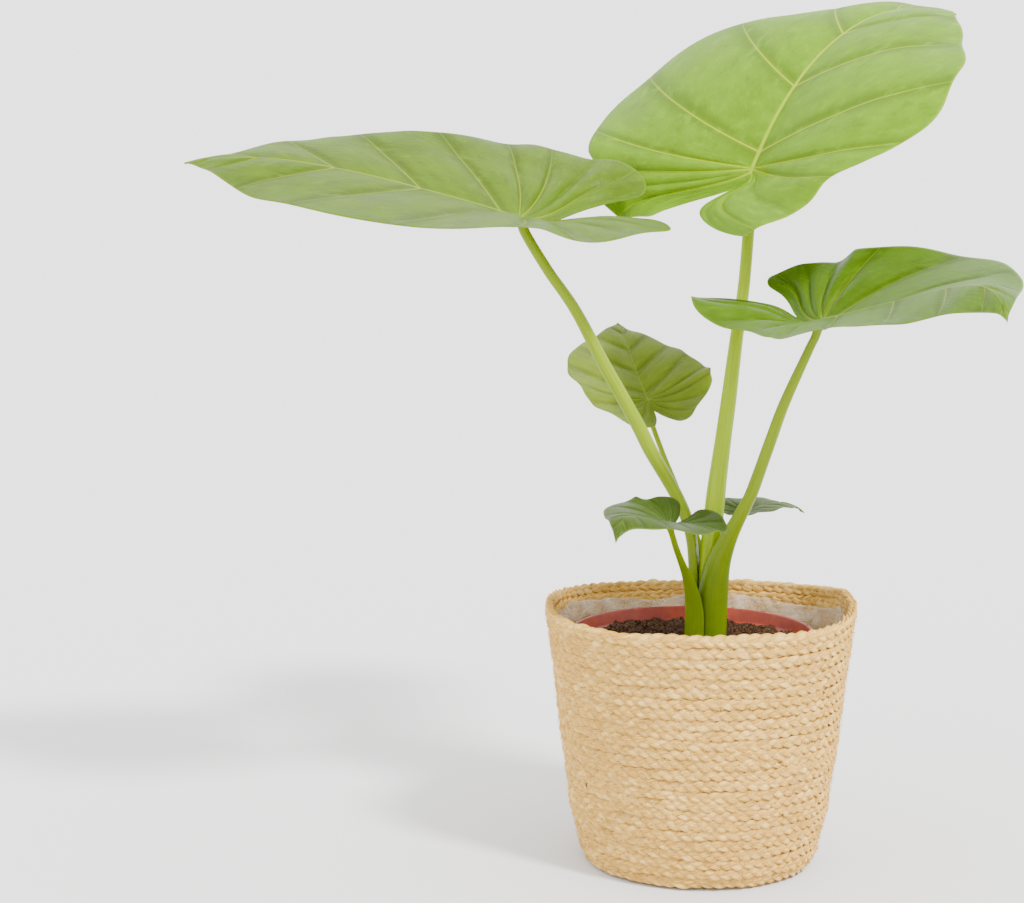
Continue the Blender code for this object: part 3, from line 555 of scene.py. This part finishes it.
def blade_piece(name):
    spec = BLADES[name]
    per_vein, columns = spec["fine"]
    rows = VEINS * per_vein
    size = spec["length"] / FULL_LEAF
    count = (rows + 1) * (columns + 1)
    points, quads, marks = [], [], {}
    offset = 0
    for side in (1, -1):
        u, v, order, t = half_grid(spec, side, rows, columns)
        v[:, 0] = side * 1e-7
        t = t[None, :]
        fields = vein_fields(spec, side, size, u, v, t)
        sheets = blade_sheets(spec, side, size, u, v, order, t, fields)
        for under, sheet in enumerate(sheets):
            points.append(sheet.reshape(-1, 3))
            for key, value in (*fields.items(), ("under", np.full(count, float(under)))):
                marks.setdefault(key, []).append(value.ravel())
            faces = grid_faces(rows + 1, columns + 1, first=offset)
            quads.append(faces[:, ::-1] if (side > 0) == (under == 1) else faces)
            offset += count
        a = offset - 2 * count + np.arange(rows) * (columns + 1) + columns
        b = a + count
        rim = np.stack([a, a + columns + 1, b + columns + 1, b], axis=1)
        quads.append(rim if side < 0 else rim[:, ::-1])
    slot, *look = LEAF_LOOKS[name]
    marks = {key: np.concatenate(values) for key, values in marks.items()}
    look = leaf_look(name, *look)
    obj = piece(name + "_leaf", np.vstack(points), np.vstack(quads), look, [name], marks)
    obj.modifiers.new("weld", "WELD").merge_threshold = WELD_DISTANCE


def leaf_look(name, green, pale, rough, vein_show):
    """Mottled green, darker in the troughs along the veins as painted shade, with painted highlight streaks,
    paler on the veins, along the edge and underneath.
    """
    s = Shader(name + "_look", rough, 0.1)
    vein = s.span(s.attribute("vein"), 0.35, 1.0, 1.0, 0.0)
    rib = s.span(s.attribute("rib"), 0.4, 1.0, 1.0, 0.0)
    soft = s.span(s.attribute("vein"), 0.8, 5.0, 1.0, 0.0)
    swell = s.off_middle(s.math("FRACT", s.attribute("phase")))
    lines = s.math("MAXIMUM", vein, rib)
    net = s.attribute("net")
    wobble = s.noise(160.0, 2.0)
    shifted = s.math("ADD", net, s.times(wobble, 0.55))
    saw = s.off_middle(s.math("FRACT", shifted))
    fine = s.span(saw, 0.4, 0.485, 0.0, 1.0)
    small = s.noise(900.0, 3.0, 0.6)
    mottle = s.noise(38.0, 4.0, 0.6)
    broad = s.noise(9.0, 2.0, 0.5)
    deep = scaled(green, 0.84)
    light = scaled(green, 1.16, 0.003)
    base = s.mix(s.span(mottle, 0.25, 0.75), deep, light)
    base = s.mix(s.span(broad, 0.35, 0.65, 0.0, 0.35), base, light)
    # Painted shade: the green darkens in the troughs along the veins, less towards the lobes.
    front = s.span(s.attribute("phase"), 6.0, 8.5, 0.85, 0.25)
    painted_trough_shade = s.times(s.span(swell, 0.28, 0.49, 0.0, 0.8), front)
    base = s.mix(painted_trough_shade, base, scaled(green, 0.55))
    # Streaks along the veins: the lighter ones are painted highlights, the darker ones a darker green.
    stroke = s.vector(s.times(s.attribute("phase"), 5.0), s.times(s.attribute("reach"), 60.0))
    highlight_streaks = s.noise(1.0, 3.0, 0.6, stroke)
    base = s.mix(s.span(highlight_streaks, 0.5, 0.72, 0.0, 0.55), base, scaled(green, 1.45, 0.006))
    base = s.mix(s.span(highlight_streaks, 0.46, 0.28, 0.0, 0.45), base, scaled(green, 0.62))
    base = s.mix(s.times(soft, 0.1), base, pale)
    base = s.mix(s.times(fine, 0.02), base, pale)
    base = s.mix(s.times(s.span(small, 0.45, 0.75), 0.06), base, pale)
    far = s.span(s.attribute("edge"), 0.0, 0.045, 0.45, 1.0)
    base = s.mix(s.times(s.times(lines, vein_show), far), base, pale)
    edge = s.span(s.attribute("edge"), 0.0, 0.0022, 0.45, 0.0)
    base = s.mix(edge, base, tuple(0.6 * a + 0.4 * b for a, b in zip(pale, green)))
    under = tuple(0.35 * a + 0.65 * b + 0.01 for a, b in zip(pale, green))
    base = s.mix(s.times(s.attribute("under"), 0.75), base, under)
    s.colour(base)
    height = s.math("ADD", s.times(small, 0.35), s.times(fine, -0.55))
    height = s.math("ADD", height, s.times(s.noise(260.0, 3.0), 0.8))
    s.normal(s.bump(height, 0.00022, 0.8))
    s.rough(s.span(mottle, 0.2, 0.8, rough - 0.06, rough + 0.1))
    return s.material


# Petioles with their sheaths


def shoot_axis(height):
    path = np.array(PETIOLES["petiole_top"]["path"])
    return np.interp(height, path[:, 2], path[:, 0]), np.interp(height, path[:, 2], path[:, 1])


def clear_of_shoot(points, height, opening):
    """Points moved out of the middle stalk, a little further where the sheath opens."""
    path = np.array(PETIOLES["petiole_top"]["path"])
    least = np.interp(height, path[:, 2], path[:, 3]) + 0.0004 + 0.0014 * opening
    away = points - np.array(shoot_axis(height))
    reach = np.linalg.norm(away, axis=1)
    return points + away * (np.maximum(least / reach, 1.0) - 1.0)[:, None]


def sheath_section(sheath, height):
    """The outline of a stalk's foot at one height, which wraps round the middle stalk."""
    facing, spread, inner, thick = sheath[:4]
    turn = (np.arange(SECTION_POINTS) + 0.5) * 360.0 / SECTION_POINTS
    turn = np.where(turn > 180, turn - 360, turn)
    front = np.abs(turn) < 90
    share = np.where(front, turn / 90, np.sign(turn) * (180 - np.abs(turn)) / 90)
    bearing = np.radians(facing + spread * share)
    edge = 0.0007 + (thick - 0.0007) * np.cos(np.radians(np.clip(turn, -90, 90))) ** 1.6
    radius = np.where(front, inner + edge, inner)
    x, y = shoot_axis(height)
    return np.stack([x + radius * np.cos(bearing), y + radius * np.sin(bearing)], axis=1)


def petiole_piece(name, look):
    spec = PETIOLES[name]
    blade = Blade(BLADES[spec["blade"]])
    hub_normal = blade.normal[blade.hub_index]
    end = np.array(BLADES[spec["blade"]]["hub"]) - hub_normal * (HUB_CLEARANCE - 0.0006)
    path = np.array(spec["path"] + [(*end, spec["path"][-1][3])])
    count = 12 * (len(path) - 1)
    params = np.linspace(0, len(path) - 1, count + 1)
    middle = spline(path, params)
    tangent = np.gradient(middle[:, :3], axis=0)
    tangent /= np.linalg.norm(tangent, axis=1)[:, None]
    facing = math.radians(spec["sheath"][0]) if spec["sheath"] else 0.0
    turn = facing + (np.arange(SECTION_POINTS) + 0.5) * 2 * math.pi / SECTION_POINTS
    rings, weights = [], []
    travelled = np.r_[0, np.cumsum(np.linalg.norm(np.diff(middle[:, :3], axis=0), axis=1))]
    for k in range(count + 1):
        centre, radius, along = middle[k, :3], middle[k, 3], tangent[k]
        share = smoothstep(count - 22, count, k)
        flare = 1 + 0.25 * smoothstep(count - 10, count, k)
        plane = np.array([0, 0, 1.0]) * (1 - share) + hub_normal * share
        side = np.cross([0, 1.0, 0], along)
        side /= np.linalg.norm(side)
        other = np.cross(along, side)
        ridge = 1 + 0.012 * np.cos(9 * turn + 0.7) + 0.008 * np.cos(17 * turn)
        spokes = np.cos(turn)[:, None] * side + np.sin(turn)[:, None] * other
        ring = radius * flare * ridge[:, None] * spokes
        ring = centre + ring - along * (ring @ plane / (along @ plane))[:, None]
        weight = 0.0
        if spec["sheath"]:
            weight = float(1 - smoothstep(spec["sheath"][4], spec["sheath"][5], centre[2]))
            if weight > 0:
                section = sheath_section(spec["sheath"], centre[2])
                ring[:, :2] = ring[:, :2] * (1 - weight) + section * weight
                ring[:, :2] = clear_of_shoot(ring[:, :2], centre[2], 4 * weight * (1 - weight))
        rings.append(ring)
        weights.append(weight)
    points = np.vstack(rings)
    half = SECTION_POINTS / 2
    around = np.abs(np.arange(SECTION_POINTS) + 0.5 - half) / half
    marks = {"rise": np.repeat(travelled, SECTION_POINTS), "sheath": np.repeat(weights, SECTION_POINTS)}
    marks["round"] = np.tile(around, count + 1)
    faces = grid_faces(count + 1, SECTION_POINTS, wrap=True)
    caps = end_caps(len(points), SECTION_POINTS)
    piece(name + "_stalk", points, faces, look, [name], marks, tris=caps)


def stalk_look(name, gain, deep):
    """Stalk green, brighter by gain, with its foot this deep in a darker green. The gain paints light and
    shade: above one it lifts a stalk that lies in shade, below one it darkens it.
    """
    s = Shader(name, 0.38, 0.15)
    rise, sheath, around = s.attribute("rise"), s.attribute("sheath"), s.attribute("round")
    streak = s.noise(1.0, 4.0, 0.6, s.vector(s.times(around, 26.0), s.times(rise, 22.0)))
    blotch = s.noise(26.0, 3.0, 0.6)
    base = s.mix(s.span(streak, 0.3, 0.7), scaled(STALK_GREEN, gain), scaled(STALK_PALE, gain))
    base = s.mix(s.span(blotch, 0.4, 0.7, 0.0, 0.4), base, scaled(STALK_MIDDLE, gain))
    low = s.span(rise, 0.02, 0.2, deep, 0.0)
    base = s.mix(s.times(low, s.span(blotch, 0.2, 0.8, 0.5, 1.0)), base, STALK_FOOT)
    wing = s.times(s.span(sheath, 0.05, 0.6), s.span(s.off_middle(around), 0.0, 0.12, 1.0, 0.0))
    base = s.mix(s.times(wing, 0.55), base, SHEATH_WING)
    s.colour(base)
    s.normal(s.bump(streak, 0.00025, 0.5))
    s.rough(s.span(blotch, 0.3, 0.7, 0.28, 0.42))
    return s.material


# Basket of plaited straw


def basket_radius(angle, height):
    """Rounder at the foot, a little squarer towards the mouth."""
    radius = np.interp(height, BASKET_LEVELS, BASKET_RADII)
    power = 2.0 + RIM_SQUARENESS * np.clip(height / BASKET_HEIGHT, 0, 1) ** 2
    square = (np.abs(np.cos(angle)) ** power + np.abs(np.sin(angle)) ** power) ** (-1.0 / power)
    return radius * square


def rim_lift(angle, height):
    share = smoothstep(0.1, BASKET_HEIGHT, height)
    right = RIM_LIFT_RIGHT * np.clip(np.cos(angle - 0.1), 0, 1) ** 5
    left = RIM_LIFT_LEFT * np.clip(-np.cos(angle), 0, 1) ** 5
    return share * (right + left)


def on_basket(angle, height, inset):
    """Points this far inside the basket's outer face."""
    radius = basket_radius(angle, height) - inset
    level = height + rim_lift(angle, height)
    return np.stack([radius * np.cos(angle), radius * np.sin(angle), level], axis=-1)


def strand(row, which, inside):
    """One of a row's three strands, a flat ribbon that weaves with the other two."""
    pitch = (BASKET_HEIGHT - ROW_LOW) / BASKET_ROWS
    base_height = ROW_LOW + (row + 0.5) * pitch
    around = 2 * math.pi * np.interp(base_height, BASKET_LEVELS, BASKET_RADII)
    turns = round(around / PLAIT_LENGTH)
    count = turns * STRAND_STEPS
    section = 6 if inside else 7
    angle = round_angles(count)
    seed = row * 3.7 + which * 11.3
    slip = 0.35 * value_noise(angle / 0.37, row * 1.9) * np.sin(angle / 2) ** 0.5
    theta = turns * angle + row * 2.1 + slip + 2 * math.pi * which / 3
    wander = 0.00045 * np.sin(3 * angle + row) + 0.0003 * np.sin(7 * angle + 2.3 * row)
    wander = wander + 0.00045 * value_noise(angle * turns / 2.3, seed + 9)
    lateral = 0.00205 * np.sin(theta) + wander
    depth = 0.00085 * np.sin(2 * theta)
    fat = 1 + 0.22 * value_noise(angle * turns / 5.1 + seed, seed)
    fat = fat + 0.16 * value_noise(angle * turns / 1.7, seed + 5)
    height = base_height + lateral
    drop = 0.0006 * value_noise(angle * 5, row * 0.7)
    centre = on_basket(angle, height, 0.0019 - depth + drop + inside)
    ahead = np.roll(centre, -1, axis=0) - np.roll(centre, 1, axis=0)
    ahead /= np.linalg.norm(ahead, axis=1)[:, None]
    outward = np.stack([np.cos(angle), np.sin(angle), np.full(count, 0.1)], axis=1)
    outward -= ahead * np.sum(outward * ahead, axis=1)[:, None]
    outward /= np.linalg.norm(outward, axis=1)[:, None]
    wide = np.cross(outward, ahead)
    tilt = 0.3 * np.cos(theta)
    flat = wide * np.cos(tilt)[:, None] + outward * np.sin(tilt)[:, None]
    thick = outward * np.cos(tilt)[:, None] - wide * np.sin(tilt)[:, None]
    turn = round_angles(section)
    half_wide = (STRAND_HALF_WIDTH * fat)[:, None, None]
    half_thick = (STRAND_HALF_THICK * (0.6 + 0.4 * fat))[:, None, None]
    points = centre[:, None, :] + half_wide * np.cos(turn)[None, :, None] * flat[:, None, :]
    points = points + half_thick * np.sin(turn)[None, :, None] * thick[:, None, :]
    along = np.broadcast_to((angle * around / (2 * math.pi) + seed * 1.37)[:, None], (count, section))
    across = np.broadcast_to(np.abs(turn / math.pi - 1)[None, :], (count, section))
    faces = grid_faces(count, section, wrap=True)
    j = np.arange(section)
    k = (j + 1) % section
    end = (count - 1) * section
    faces = np.vstack([faces, np.stack([end + j, end + k, k, j], axis=1)])
    # The low mark is where the strand dips into the plait; the straw's look paints shade there.
    low = np.broadcast_to(np.clip(0.5 - 0.5 * np.sin(2 * theta), 0, 1)[:, None], (count, section))
    marks = {"along": along.ravel(), "across": across.ravel(), "low": low.ravel()}
    return points.reshape(-1, 3), faces, marks


def braid_piece(name, rows, look, inside=0.0):
    """Rows of the braid in one piece, on the outer face or this far inside it."""
    strands = [strand(row, which, inside) for row in rows for which in range(3)]
    firsts = np.cumsum([0] + [len(points) for points, _, _ in strands])
    points = np.vstack([points for points, _, _ in strands])
    faces = np.vstack([faces + first for (_, faces, _), first in zip(strands, firsts)])
    marks = {key: np.concatenate([marks[key] for _, _, marks in strands]) for key in strands[0][2]}
    piece(name, points, faces, look, attributes=marks)


def basket_core(look):
    """The plain body behind the braid, with its floor and its inner wall."""
    around = 120
    angle = round_angles(around)
    full = lambda height: np.full(around, height)
    rings = [on_basket(angle, full(0.0004), 0.06), on_basket(angle, full(0.0), 0.012)]
    rings.append(on_basket(angle, full(0.0012), 0.0038))
    for height in (0.004, 0.02, 0.06, 0.1, 0.15, 0.19, 0.1975):
        rings.append(on_basket(angle, full(height), 0.0024))
    for height in (0.1975, 0.19, 0.15, 0.1, 0.06, 0.02):
        rings.append(on_basket(angle, full(height), BASKET_WALL - 0.0012))
    rings.append(on_basket(angle, full(BASKET_FLOOR), BASKET_WALL + 0.002))
    rings.append(on_basket(angle, full(BASKET_FLOOR), 0.06))
    count = len(rings)
    points = np.vstack(rings + [[0, 0, 0.0004], [0, 0, BASKET_FLOOR]])
    j = np.arange(around)
    k = (j + 1) % around
    last = (count - 1) * around
    under = np.stack([np.full(around, count * around), k, j], axis=1)
    floor = np.stack([np.full(around, count * around + 1), last + j, last + k], axis=1)
    # The core's low mark is one all over, so it takes the full painted shade of the plait's hollows.
    marks = {"along": points[:, 0] * 9, "across": points[:, 2] * 50, "low": np.ones(len(points))}
    faces = grid_faces(count, around, wrap=True)
    piece("basket_core", points, faces, look, ["basket"], marks, tris=np.vstack([under, floor]))


def straw_look():
    """Dry straw, streaked along each strand, with painted shade in the plait's hollows, and with dark
    flecks.
    """
    s = Shader("straw_look", 0.75, 0.15)
    along, across, low = s.attribute("along"), s.attribute("across"), s.attribute("low")
    fibre = s.noise(1.0, 3.0, 0.6, s.vector(s.times(along, 140.0), s.times(across, 9.0), along))
    leaf = s.noise(1.0, 2.0, 0.5, s.vector(s.times(along, 38.0), across, 3.0))
    patch = s.noise(24.0, 4.0, 0.6)
    broad = s.noise(7.0, 2.0, 0.5)
    base = s.mix(s.span(fibre, 0.3, 0.72), (0.46, 0.245, 0.032), (0.8, 0.5, 0.13))
    base = s.mix(s.span(leaf, 0.46, 0.72, 0.0, 0.7), base, (0.86, 0.59, 0.2))
    base = s.mix(s.span(leaf, 0.42, 0.24, 0.0, 0.5), base, (0.43, 0.22, 0.034))
    base = s.mix(s.span(patch, 0.58, 0.78, 0.0, 0.5), base, (0.4, 0.2, 0.024))
    base = s.mix(s.span(broad, 0.5, 0.75, 0.0, 0.25), base, (0.58, 0.31, 0.065))
    # Painted shade in the plait's hollows, where the strands dip.
    base = s.mix(s.times(low, 0.22), base, (0.26, 0.11, 0.022))
    speck = s.noise(520.0, 2.0, 0.5)
    base = s.mix(s.span(speck, 0.6, 0.72, 0.0, 0.55), base, (0.2, 0.085, 0.012))
    fleck = s.noise(75.0, 2.0, 0.4)
    base = s.mix(s.span(fleck, 0.745, 0.775, 0.0, 0.85), base, (0.035, 0.016, 0.005))
    s.colour(base)
    s.normal(s.bump(fibre, 0.00045, 0.85))
    return s.material


def straw_fuzz(look):
    """Loose fibres of the straw lying over the braid, a little off its surface."""
    rng = np.random.default_rng(11)
    count, joints = FIBRES, 4
    angle = rng.uniform(0, 2 * math.pi, count)
    height = rng.uniform(0.004, 0.1975, count)
    lean = rng.normal(0.0, 0.55, count)
    length = rng.uniform(0.0035, 0.0105, count)
    width = rng.uniform(0.0001, 0.00022, count)
    lift = rng.uniform(-0.0004, 0.0011, count)
    bow = rng.normal(0.0, 0.0008, count)
    rise = rng.uniform(0.0, 0.0009, count)
    radius = basket_radius(angle, height)
    points, shade = [], []
    for k in range(joints):
        share = k / (joints - 1) - 0.5
        arch = 1 - 4 * share * share
        place = angle + share * length * np.cos(lean) / radius
        level = height + share * length * np.sin(lean) + bow * arch
        for edge in (-1, 1):
            slim = width * (1 - 0.8 * (2 * share) ** 4) * edge
            side_place = place - slim * np.sin(lean) / radius
            points.append(on_basket(side_place, level + slim * np.cos(lean), -lift - rise * arch))
            shade.append(rng.uniform(0, 1, count) * 0.02 + angle * 3.1 + height * 41)
    points = np.stack(points, axis=1).reshape(-1, 3)
    first = np.arange(count)[:, None] * 2 * joints
    joined = [[2 * k, 2 * k + 2, 2 * k + 3, 2 * k + 1] for k in range(joints - 1)]
    faces = np.vstack([first + np.array([quad]) for quad in joined])
    # The fibres get none of the painted hollow shade.
    marks = {"along": np.stack(shade, axis=1).ravel(), "low": np.zeros(len(points))}
    marks["across"] = np.tile([0.2, 0.8], count * joints)
    piece("basket_fibres", points, faces, look, attributes=marks)


# Lining, pot and soil


def liner_piece():
    """The creased film: an outer and an inner sheet a third of a millimetre apart."""
    around, tall = 320, 44
    angle = round_angles(around)
    heights = np.r_[np.linspace(0.0095, 0.15, 10)[:-1], np.linspace(0.15, LINER_TOP, tall - 9)]
    crease = 0.5 + 0.25 * np.sin(7 * angle + 0.6) + 0.25 * np.sin(13 * angle + 2.1)
    rows = []
    for height in heights:
        share = float(smoothstep(0.05, 0.175, height))
        fold = value_noise(angle * 14 + height * 60, 2.2) * value_noise(angle * 9 - height * 85, 9.1)
        fine = value_noise(angle * 46 + height * 150, 4.4) * 0.5
        fine = fine + value_noise(height * 190 + angle * 12, 1.5) * 0.5
        inset = BASKET_WALL + 0.001 + share * (0.0012 * crease + 0.0024 * np.abs(fold) + 0.0007 * fine)
        inset = inset + (0.0026 if height < 0.012 else 0.0)
        level = np.full(around, height)
        if height > LINER_TOP - 0.006:
            wave = 0.0022 * np.sin(5 * angle + 1.0) + 0.0016 * value_noise(angle * 11, 6.6)
            level = level + wave * (height - LINER_TOP + 0.006) / 0.006
        rows.append(on_basket(angle, level, inset))
    rows = [on_basket(angle, np.full(around, 0.0088), inset) for inset in (0.07, 0.0125)] + rows
    inner = [row.copy() for row in rows[::-1]]
    for row in inner:
        reach = np.hypot(row[:, 0], row[:, 1])[:, None]
        row[:, :2] *= 1 - 0.0003 / reach
    inner[-1][:, 2] += 0.0003
    inner[-2][:, 2] += 0.0003
    points = np.vstack(rows + inner)
    faces = grid_faces(2 * len(rows), around, wrap=True)
    s = Shader("liner_look", 0.16, 0.6)
    s.colour(s.mix(s.span(s.noise(55.0, 4.0), 0.35, 0.7), (0.62, 0.47, 0.3), (0.88, 0.8, 0.66)))
    s.normal(s.bump(s.noise(130.0, 4.0, 0.6, distortion=1.2), 0.001, 0.9))
    s.rough(s.span(s.noise(40.0, 3.0), 0.3, 0.7, 0.06, 0.24))
    s.put(0.34, s.out.inputs["Alpha"])
    caps = end_caps(len(points), around)
    piece("liner_film", points, faces, s.material, ["liner"], tris=caps)


def ring_about_pot(radius, angle, height):
    x = POT_CENTRE[0] + radius * np.cos(angle)
    y = POT_CENTRE[1] + radius * np.sin(angle)
    return np.stack([x, y, height + 0 * angle], axis=1)


def pot_piece():
    """The pot: a profile of (radius, height), from its floor over the lip to its foot, turned round."""
    floor = POT_BOTTOM + 0.002
    top, lip = POT_TOP, POT_TOP - POT_LIP
    mouth, wall = POT_RIM_RADIUS, POT_RIM_RADIUS - POT_WALL
    profile = [
        (0.004, floor + 0.002), (POT_BASE_RADIUS * 0.4, floor + 0.002), (POT_BASE_RADIUS - 0.008, floor),
        (POT_BASE_RADIUS - 0.0019, floor + 0.0006), (POT_TOP_RADIUS - POT_WALL, lip - 0.001),
        (wall - 0.002, lip - 0.0002), (wall - 0.0014, lip + 0.0012), (wall - 0.001, top - 0.0012),
        (wall - 0.0006, top - 0.0003), (wall, top), (mouth - 0.0004, top - 0.0001), (mouth, top - 0.0007),
        (mouth - 0.0002, top - 0.003), (mouth - 0.0006, lip + 0.0005), (mouth - 0.001, lip),
        (POT_TOP_RADIUS, lip - 0.0012), (POT_BASE_RADIUS, POT_BOTTOM + 0.0008),
        (POT_BASE_RADIUS - 0.0012, POT_BOTTOM), (POT_BASE_RADIUS - 0.006, POT_BOTTOM),
        (POT_BASE_RADIUS * 0.4, POT_BOTTOM + 0.0022), (0.004, POT_BOTTOM + 0.0022),
    ]
    steps = 160
    turn = round_angles(steps)
    points = np.vstack([ring_about_pot(radius, turn, height) for radius, height in profile])
    faces = grid_faces(len(profile), steps, wrap=True)
    caps = [cap[::-1] for cap in end_caps(len(points), steps)]
    s = Shader("pot_look", 0.42, 0.5)
    dust = s.noise(60.0, 4.0, 0.6)
    base = s.mix(s.span(dust, 0.35, 0.75), (0.225, 0.014, 0.001), (0.32, 0.032, 0.005))
    s.colour(s.mix(s.span(s.noise(210.0, 3.0), 0.62, 0.75, 0.0, 0.5), base, (0.12, 0.042, 0.018)))
    s.normal(s.bump(s.noise(420.0, 2.0), 0.0002, 0.4))
    look = s.material
    piece("nursery_pot_shell", points, faces[:, ::-1], look, ["nursery_pot"], tris=caps)


def soil_height(x, y):
    lump = 0.0017 * np.sin(170 * x + 1.3) * np.sin(150 * y + 0.4)
    lump = lump + 0.001 * np.sin(310 * x - 90 * y + 2.0) + 0.0009 * np.sin(120 * x + 290 * y)
    rough = value_noise(x * 430 + 11 * np.sin(y * 190), 3.3)
    rough = rough * value_noise(y * 410 + 9 * np.sin(x * 170), 8.8)
    return SOIL_TOP + 0.0006 + lump + 0.0012 * rough


def soil_piece(look):
    around, rings = 240, 54
    angle = round_angles(around)
    outer = POT_RIM_RADIUS - POT_WALL - 0.0036
    rows = []
    for k in range(rings + 1):
        ring = ring_about_pot(0.004 + (outer - 0.004) * k / rings, angle, 0.0)
        rim = 0.0022 * smoothstep(0.86, 1.0, k / rings)
        ring[:, 2] = soil_height(ring[:, 0], ring[:, 1]) - rim
        rows.append(ring)
    rows.append(ring_about_pot(outer, angle, SOIL_TOP - 0.01))
    rows.append(ring_about_pot(0.066, angle, 0.015))
    points = np.vstack(rows)
    faces = grid_faces(len(rows), around, wrap=True)
    piece("soil_bed", points, faces, look, ["soil"], tris=end_caps(len(points), around))


def soil_look():
    s = Shader("soil_look", 0.92, 0.25)
    grain = s.noise(420.0, 4.0, 0.7)
    clod = s.noise(95.0, 4.0, 0.6)
    base = s.mix(s.span(grain, 0.3, 0.7), (0.016, 0.005, 0.0008), (0.078, 0.027, 0.004))
    base = s.mix(s.span(clod, 0.52, 0.75, 0.0, 0.7), base, (0.062, 0.031, 0.011))
    base = s.mix(s.span(s.noise(640.0, 2.0, 0.5), 0.6, 0.68, 0.0, 0.8), base, (0.211, 0.124, 0.056))
    s.colour(base)
    s.normal(s.bump(s.math("ADD", grain, clod), 0.0022, 1.0))
    return s.material


def crumb(rng, size):
    """Points and faces of one rough crumb about its own middle."""
    corners = []
    for a in (-1, 0, 1):
        count = 1 if a else 5
        for k in range(count):
            turn = 2 * math.pi * k / count + rng.uniform(0, 0.6)
            reach = 0.0 if a else 1.0
            corners.append((reach * math.cos(turn), reach * math.sin(turn), float(a)))
    shape = np.array(corners) * rng.uniform(0.55, 1.0, (len(corners), 1)) * size * rng.uniform(0.6, 1.2, 3)
    twist = rng.uniform(0, 2 * math.pi)
    lean = rng.uniform(-0.9, 0.9)
    c, s, cl, sl = math.cos(twist), math.sin(twist), math.cos(lean), math.sin(lean)
    turn = np.array([[c, -s, 0], [s, c, 0], [0, 0, 1]]) @ np.array([[cl, 0, sl], [0, 1, 0], [-sl, 0, cl]])
    faces = []
    for k in range(5):
        j = (k + 1) % 5
        faces += [(0, 1 + j, 1 + k), (6, 1 + k, 1 + j)]
    return shape @ turn.T, faces


def soil_crumbs(look):
    """Loose crumbs on the soil, clear of the stalks, and a few on the pot's lip."""
    rng = np.random.default_rng(7)
    points, faces, offset = [], [], 0
    for n in range(CRUMBS):
        radius = 0.088 * math.sqrt(rng.uniform(0.0, 1.0))
        turn = rng.uniform(0, 2 * math.pi)
        x, y = POT_CENTRE[0] + radius * math.cos(turn), POT_CENTRE[1] + radius * math.sin(turn)
        size = rng.uniform(0.0006, 0.0017) if n % 9 else rng.uniform(0.0016, 0.003)
        near = math.hypot(x - SHOOT_CENTRE[0], y - SHOOT_CENTRE[1])
        if near < 0.012:
            continue
        shape, tri = crumb(rng, size)
        height = float(soil_height(np.array(x), np.array(y))) + 0.3 * size
        height -= 0.0022 * float(smoothstep(0.074, 0.088, radius))
        points.append(shape + [x, y, height])
        faces += [(a + offset, b + offset, c + offset) for a, b, c in tri]
        offset += len(shape)
    for n in range(26):
        turn = rng.uniform(2.4, 4.4) if n % 3 else rng.uniform(0, 6.28)
        radius = POT_RIM_RADIUS - rng.uniform(0.0006, 0.002)
        size = rng.uniform(0.0004, 0.001)
        shape, tri = crumb(rng, size)
        x, y = POT_CENTRE[0] + radius * math.cos(turn), POT_CENTRE[1] + radius * math.sin(turn)
        points.append(shape + [x, y, POT_TOP + 0.4 * size])
        faces += [(a + offset, b + offset, c + offset) for a, b, c in tri]
        offset += len(shape)
    piece("soil_crumbs", np.vstack(points), faces, look, smooth=False)


# Room: floor, light and camera


def room():
    floor = bpy.data.meshes.new("floor")
    floor.from_pydata([(-60, -30, 0), (60, -30, 0), (60, 90, 0), (-60, 90, 0)], [], [(0, 1, 2, 3)])
    pale = Shader("floor_look", 0.9, 0.0)
    pale.colour((FLOOR_GREY, FLOOR_GREY, FLOOR_GREY))
    floor.materials.append(pale.material)
    ground = placed("floor", floor)
    ground.location.z = -0.0004
    world = bpy.data.worlds.new("studio")
    world.use_nodes = True
    sky = world.node_tree.nodes["Background"]
    sky.inputs["Color"].default_value = (1.0, 1.0, 1.0, 1.0)
    sky.inputs["Strength"].default_value = SKY
    bpy.context.scene.world = world
    data = bpy.data.lights.new("key", "SUN")
    data.angle = math.radians(9.0)
    data.energy = SUN
    key = placed("key", data)
    key.rotation_euler = (math.radians(45.0), 0.0, math.radians(46.0))


def camera():
    data = bpy.data.cameras.new("camera")
    data.sensor_width = SENSOR_WIDTH
    data.lens = SENSOR_WIDTH * FOCAL_PIXELS / PICTURE_WIDTH
    obj = placed("camera", data)
    obj.location = CAMERA_PLACE
    turn = math.atan((VERTICAL_AT - PICTURE_WIDTH / 2) / FOCAL_PIXELS)
    obj.rotation_euler = (math.radians(CAMERA_TILT), 0.0, turn)
    bpy.context.scene.camera = obj


camera()
room()
for leaf in BLADES:
    blade_piece(leaf)
# Lit and shaded copies of one stalk look: the top stalk's is brighter as painted light where the top leaf
# shades it, the right stalk's darker as painted shade.
painted_light_stalk = stalk_look("stalk_painted_light", 1.4, 0.35)
stalk = stalk_look("stalk_look", 1.0, 0.8)
painted_shade_stalk = stalk_look("stalk_painted_shade", 0.92, 1.0)
for stem in PETIOLES:
    petiole_piece(stem, {"petiole_top": painted_light_stalk, "petiole_right": painted_shade_stalk}.get(stem, stalk))
straw = straw_look()
basket_core(straw)
for part, first, last in (("foot", 0, 7), ("low", 7, 13), ("high", 13, 19), ("rim", 19, BASKET_ROWS)):
    braid_piece("basket_braid_" + part, range(first, last), straw)
braid_piece("basket_braid_inside", range(21, BASKET_ROWS), straw, 0.0027)
straw_fuzz(straw)
liner_piece()
pot_piece()
soil_piece(soil_look())
soil_crumbs(soil_look())
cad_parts["corm"].material_slots[0].material = painted_light_stalk
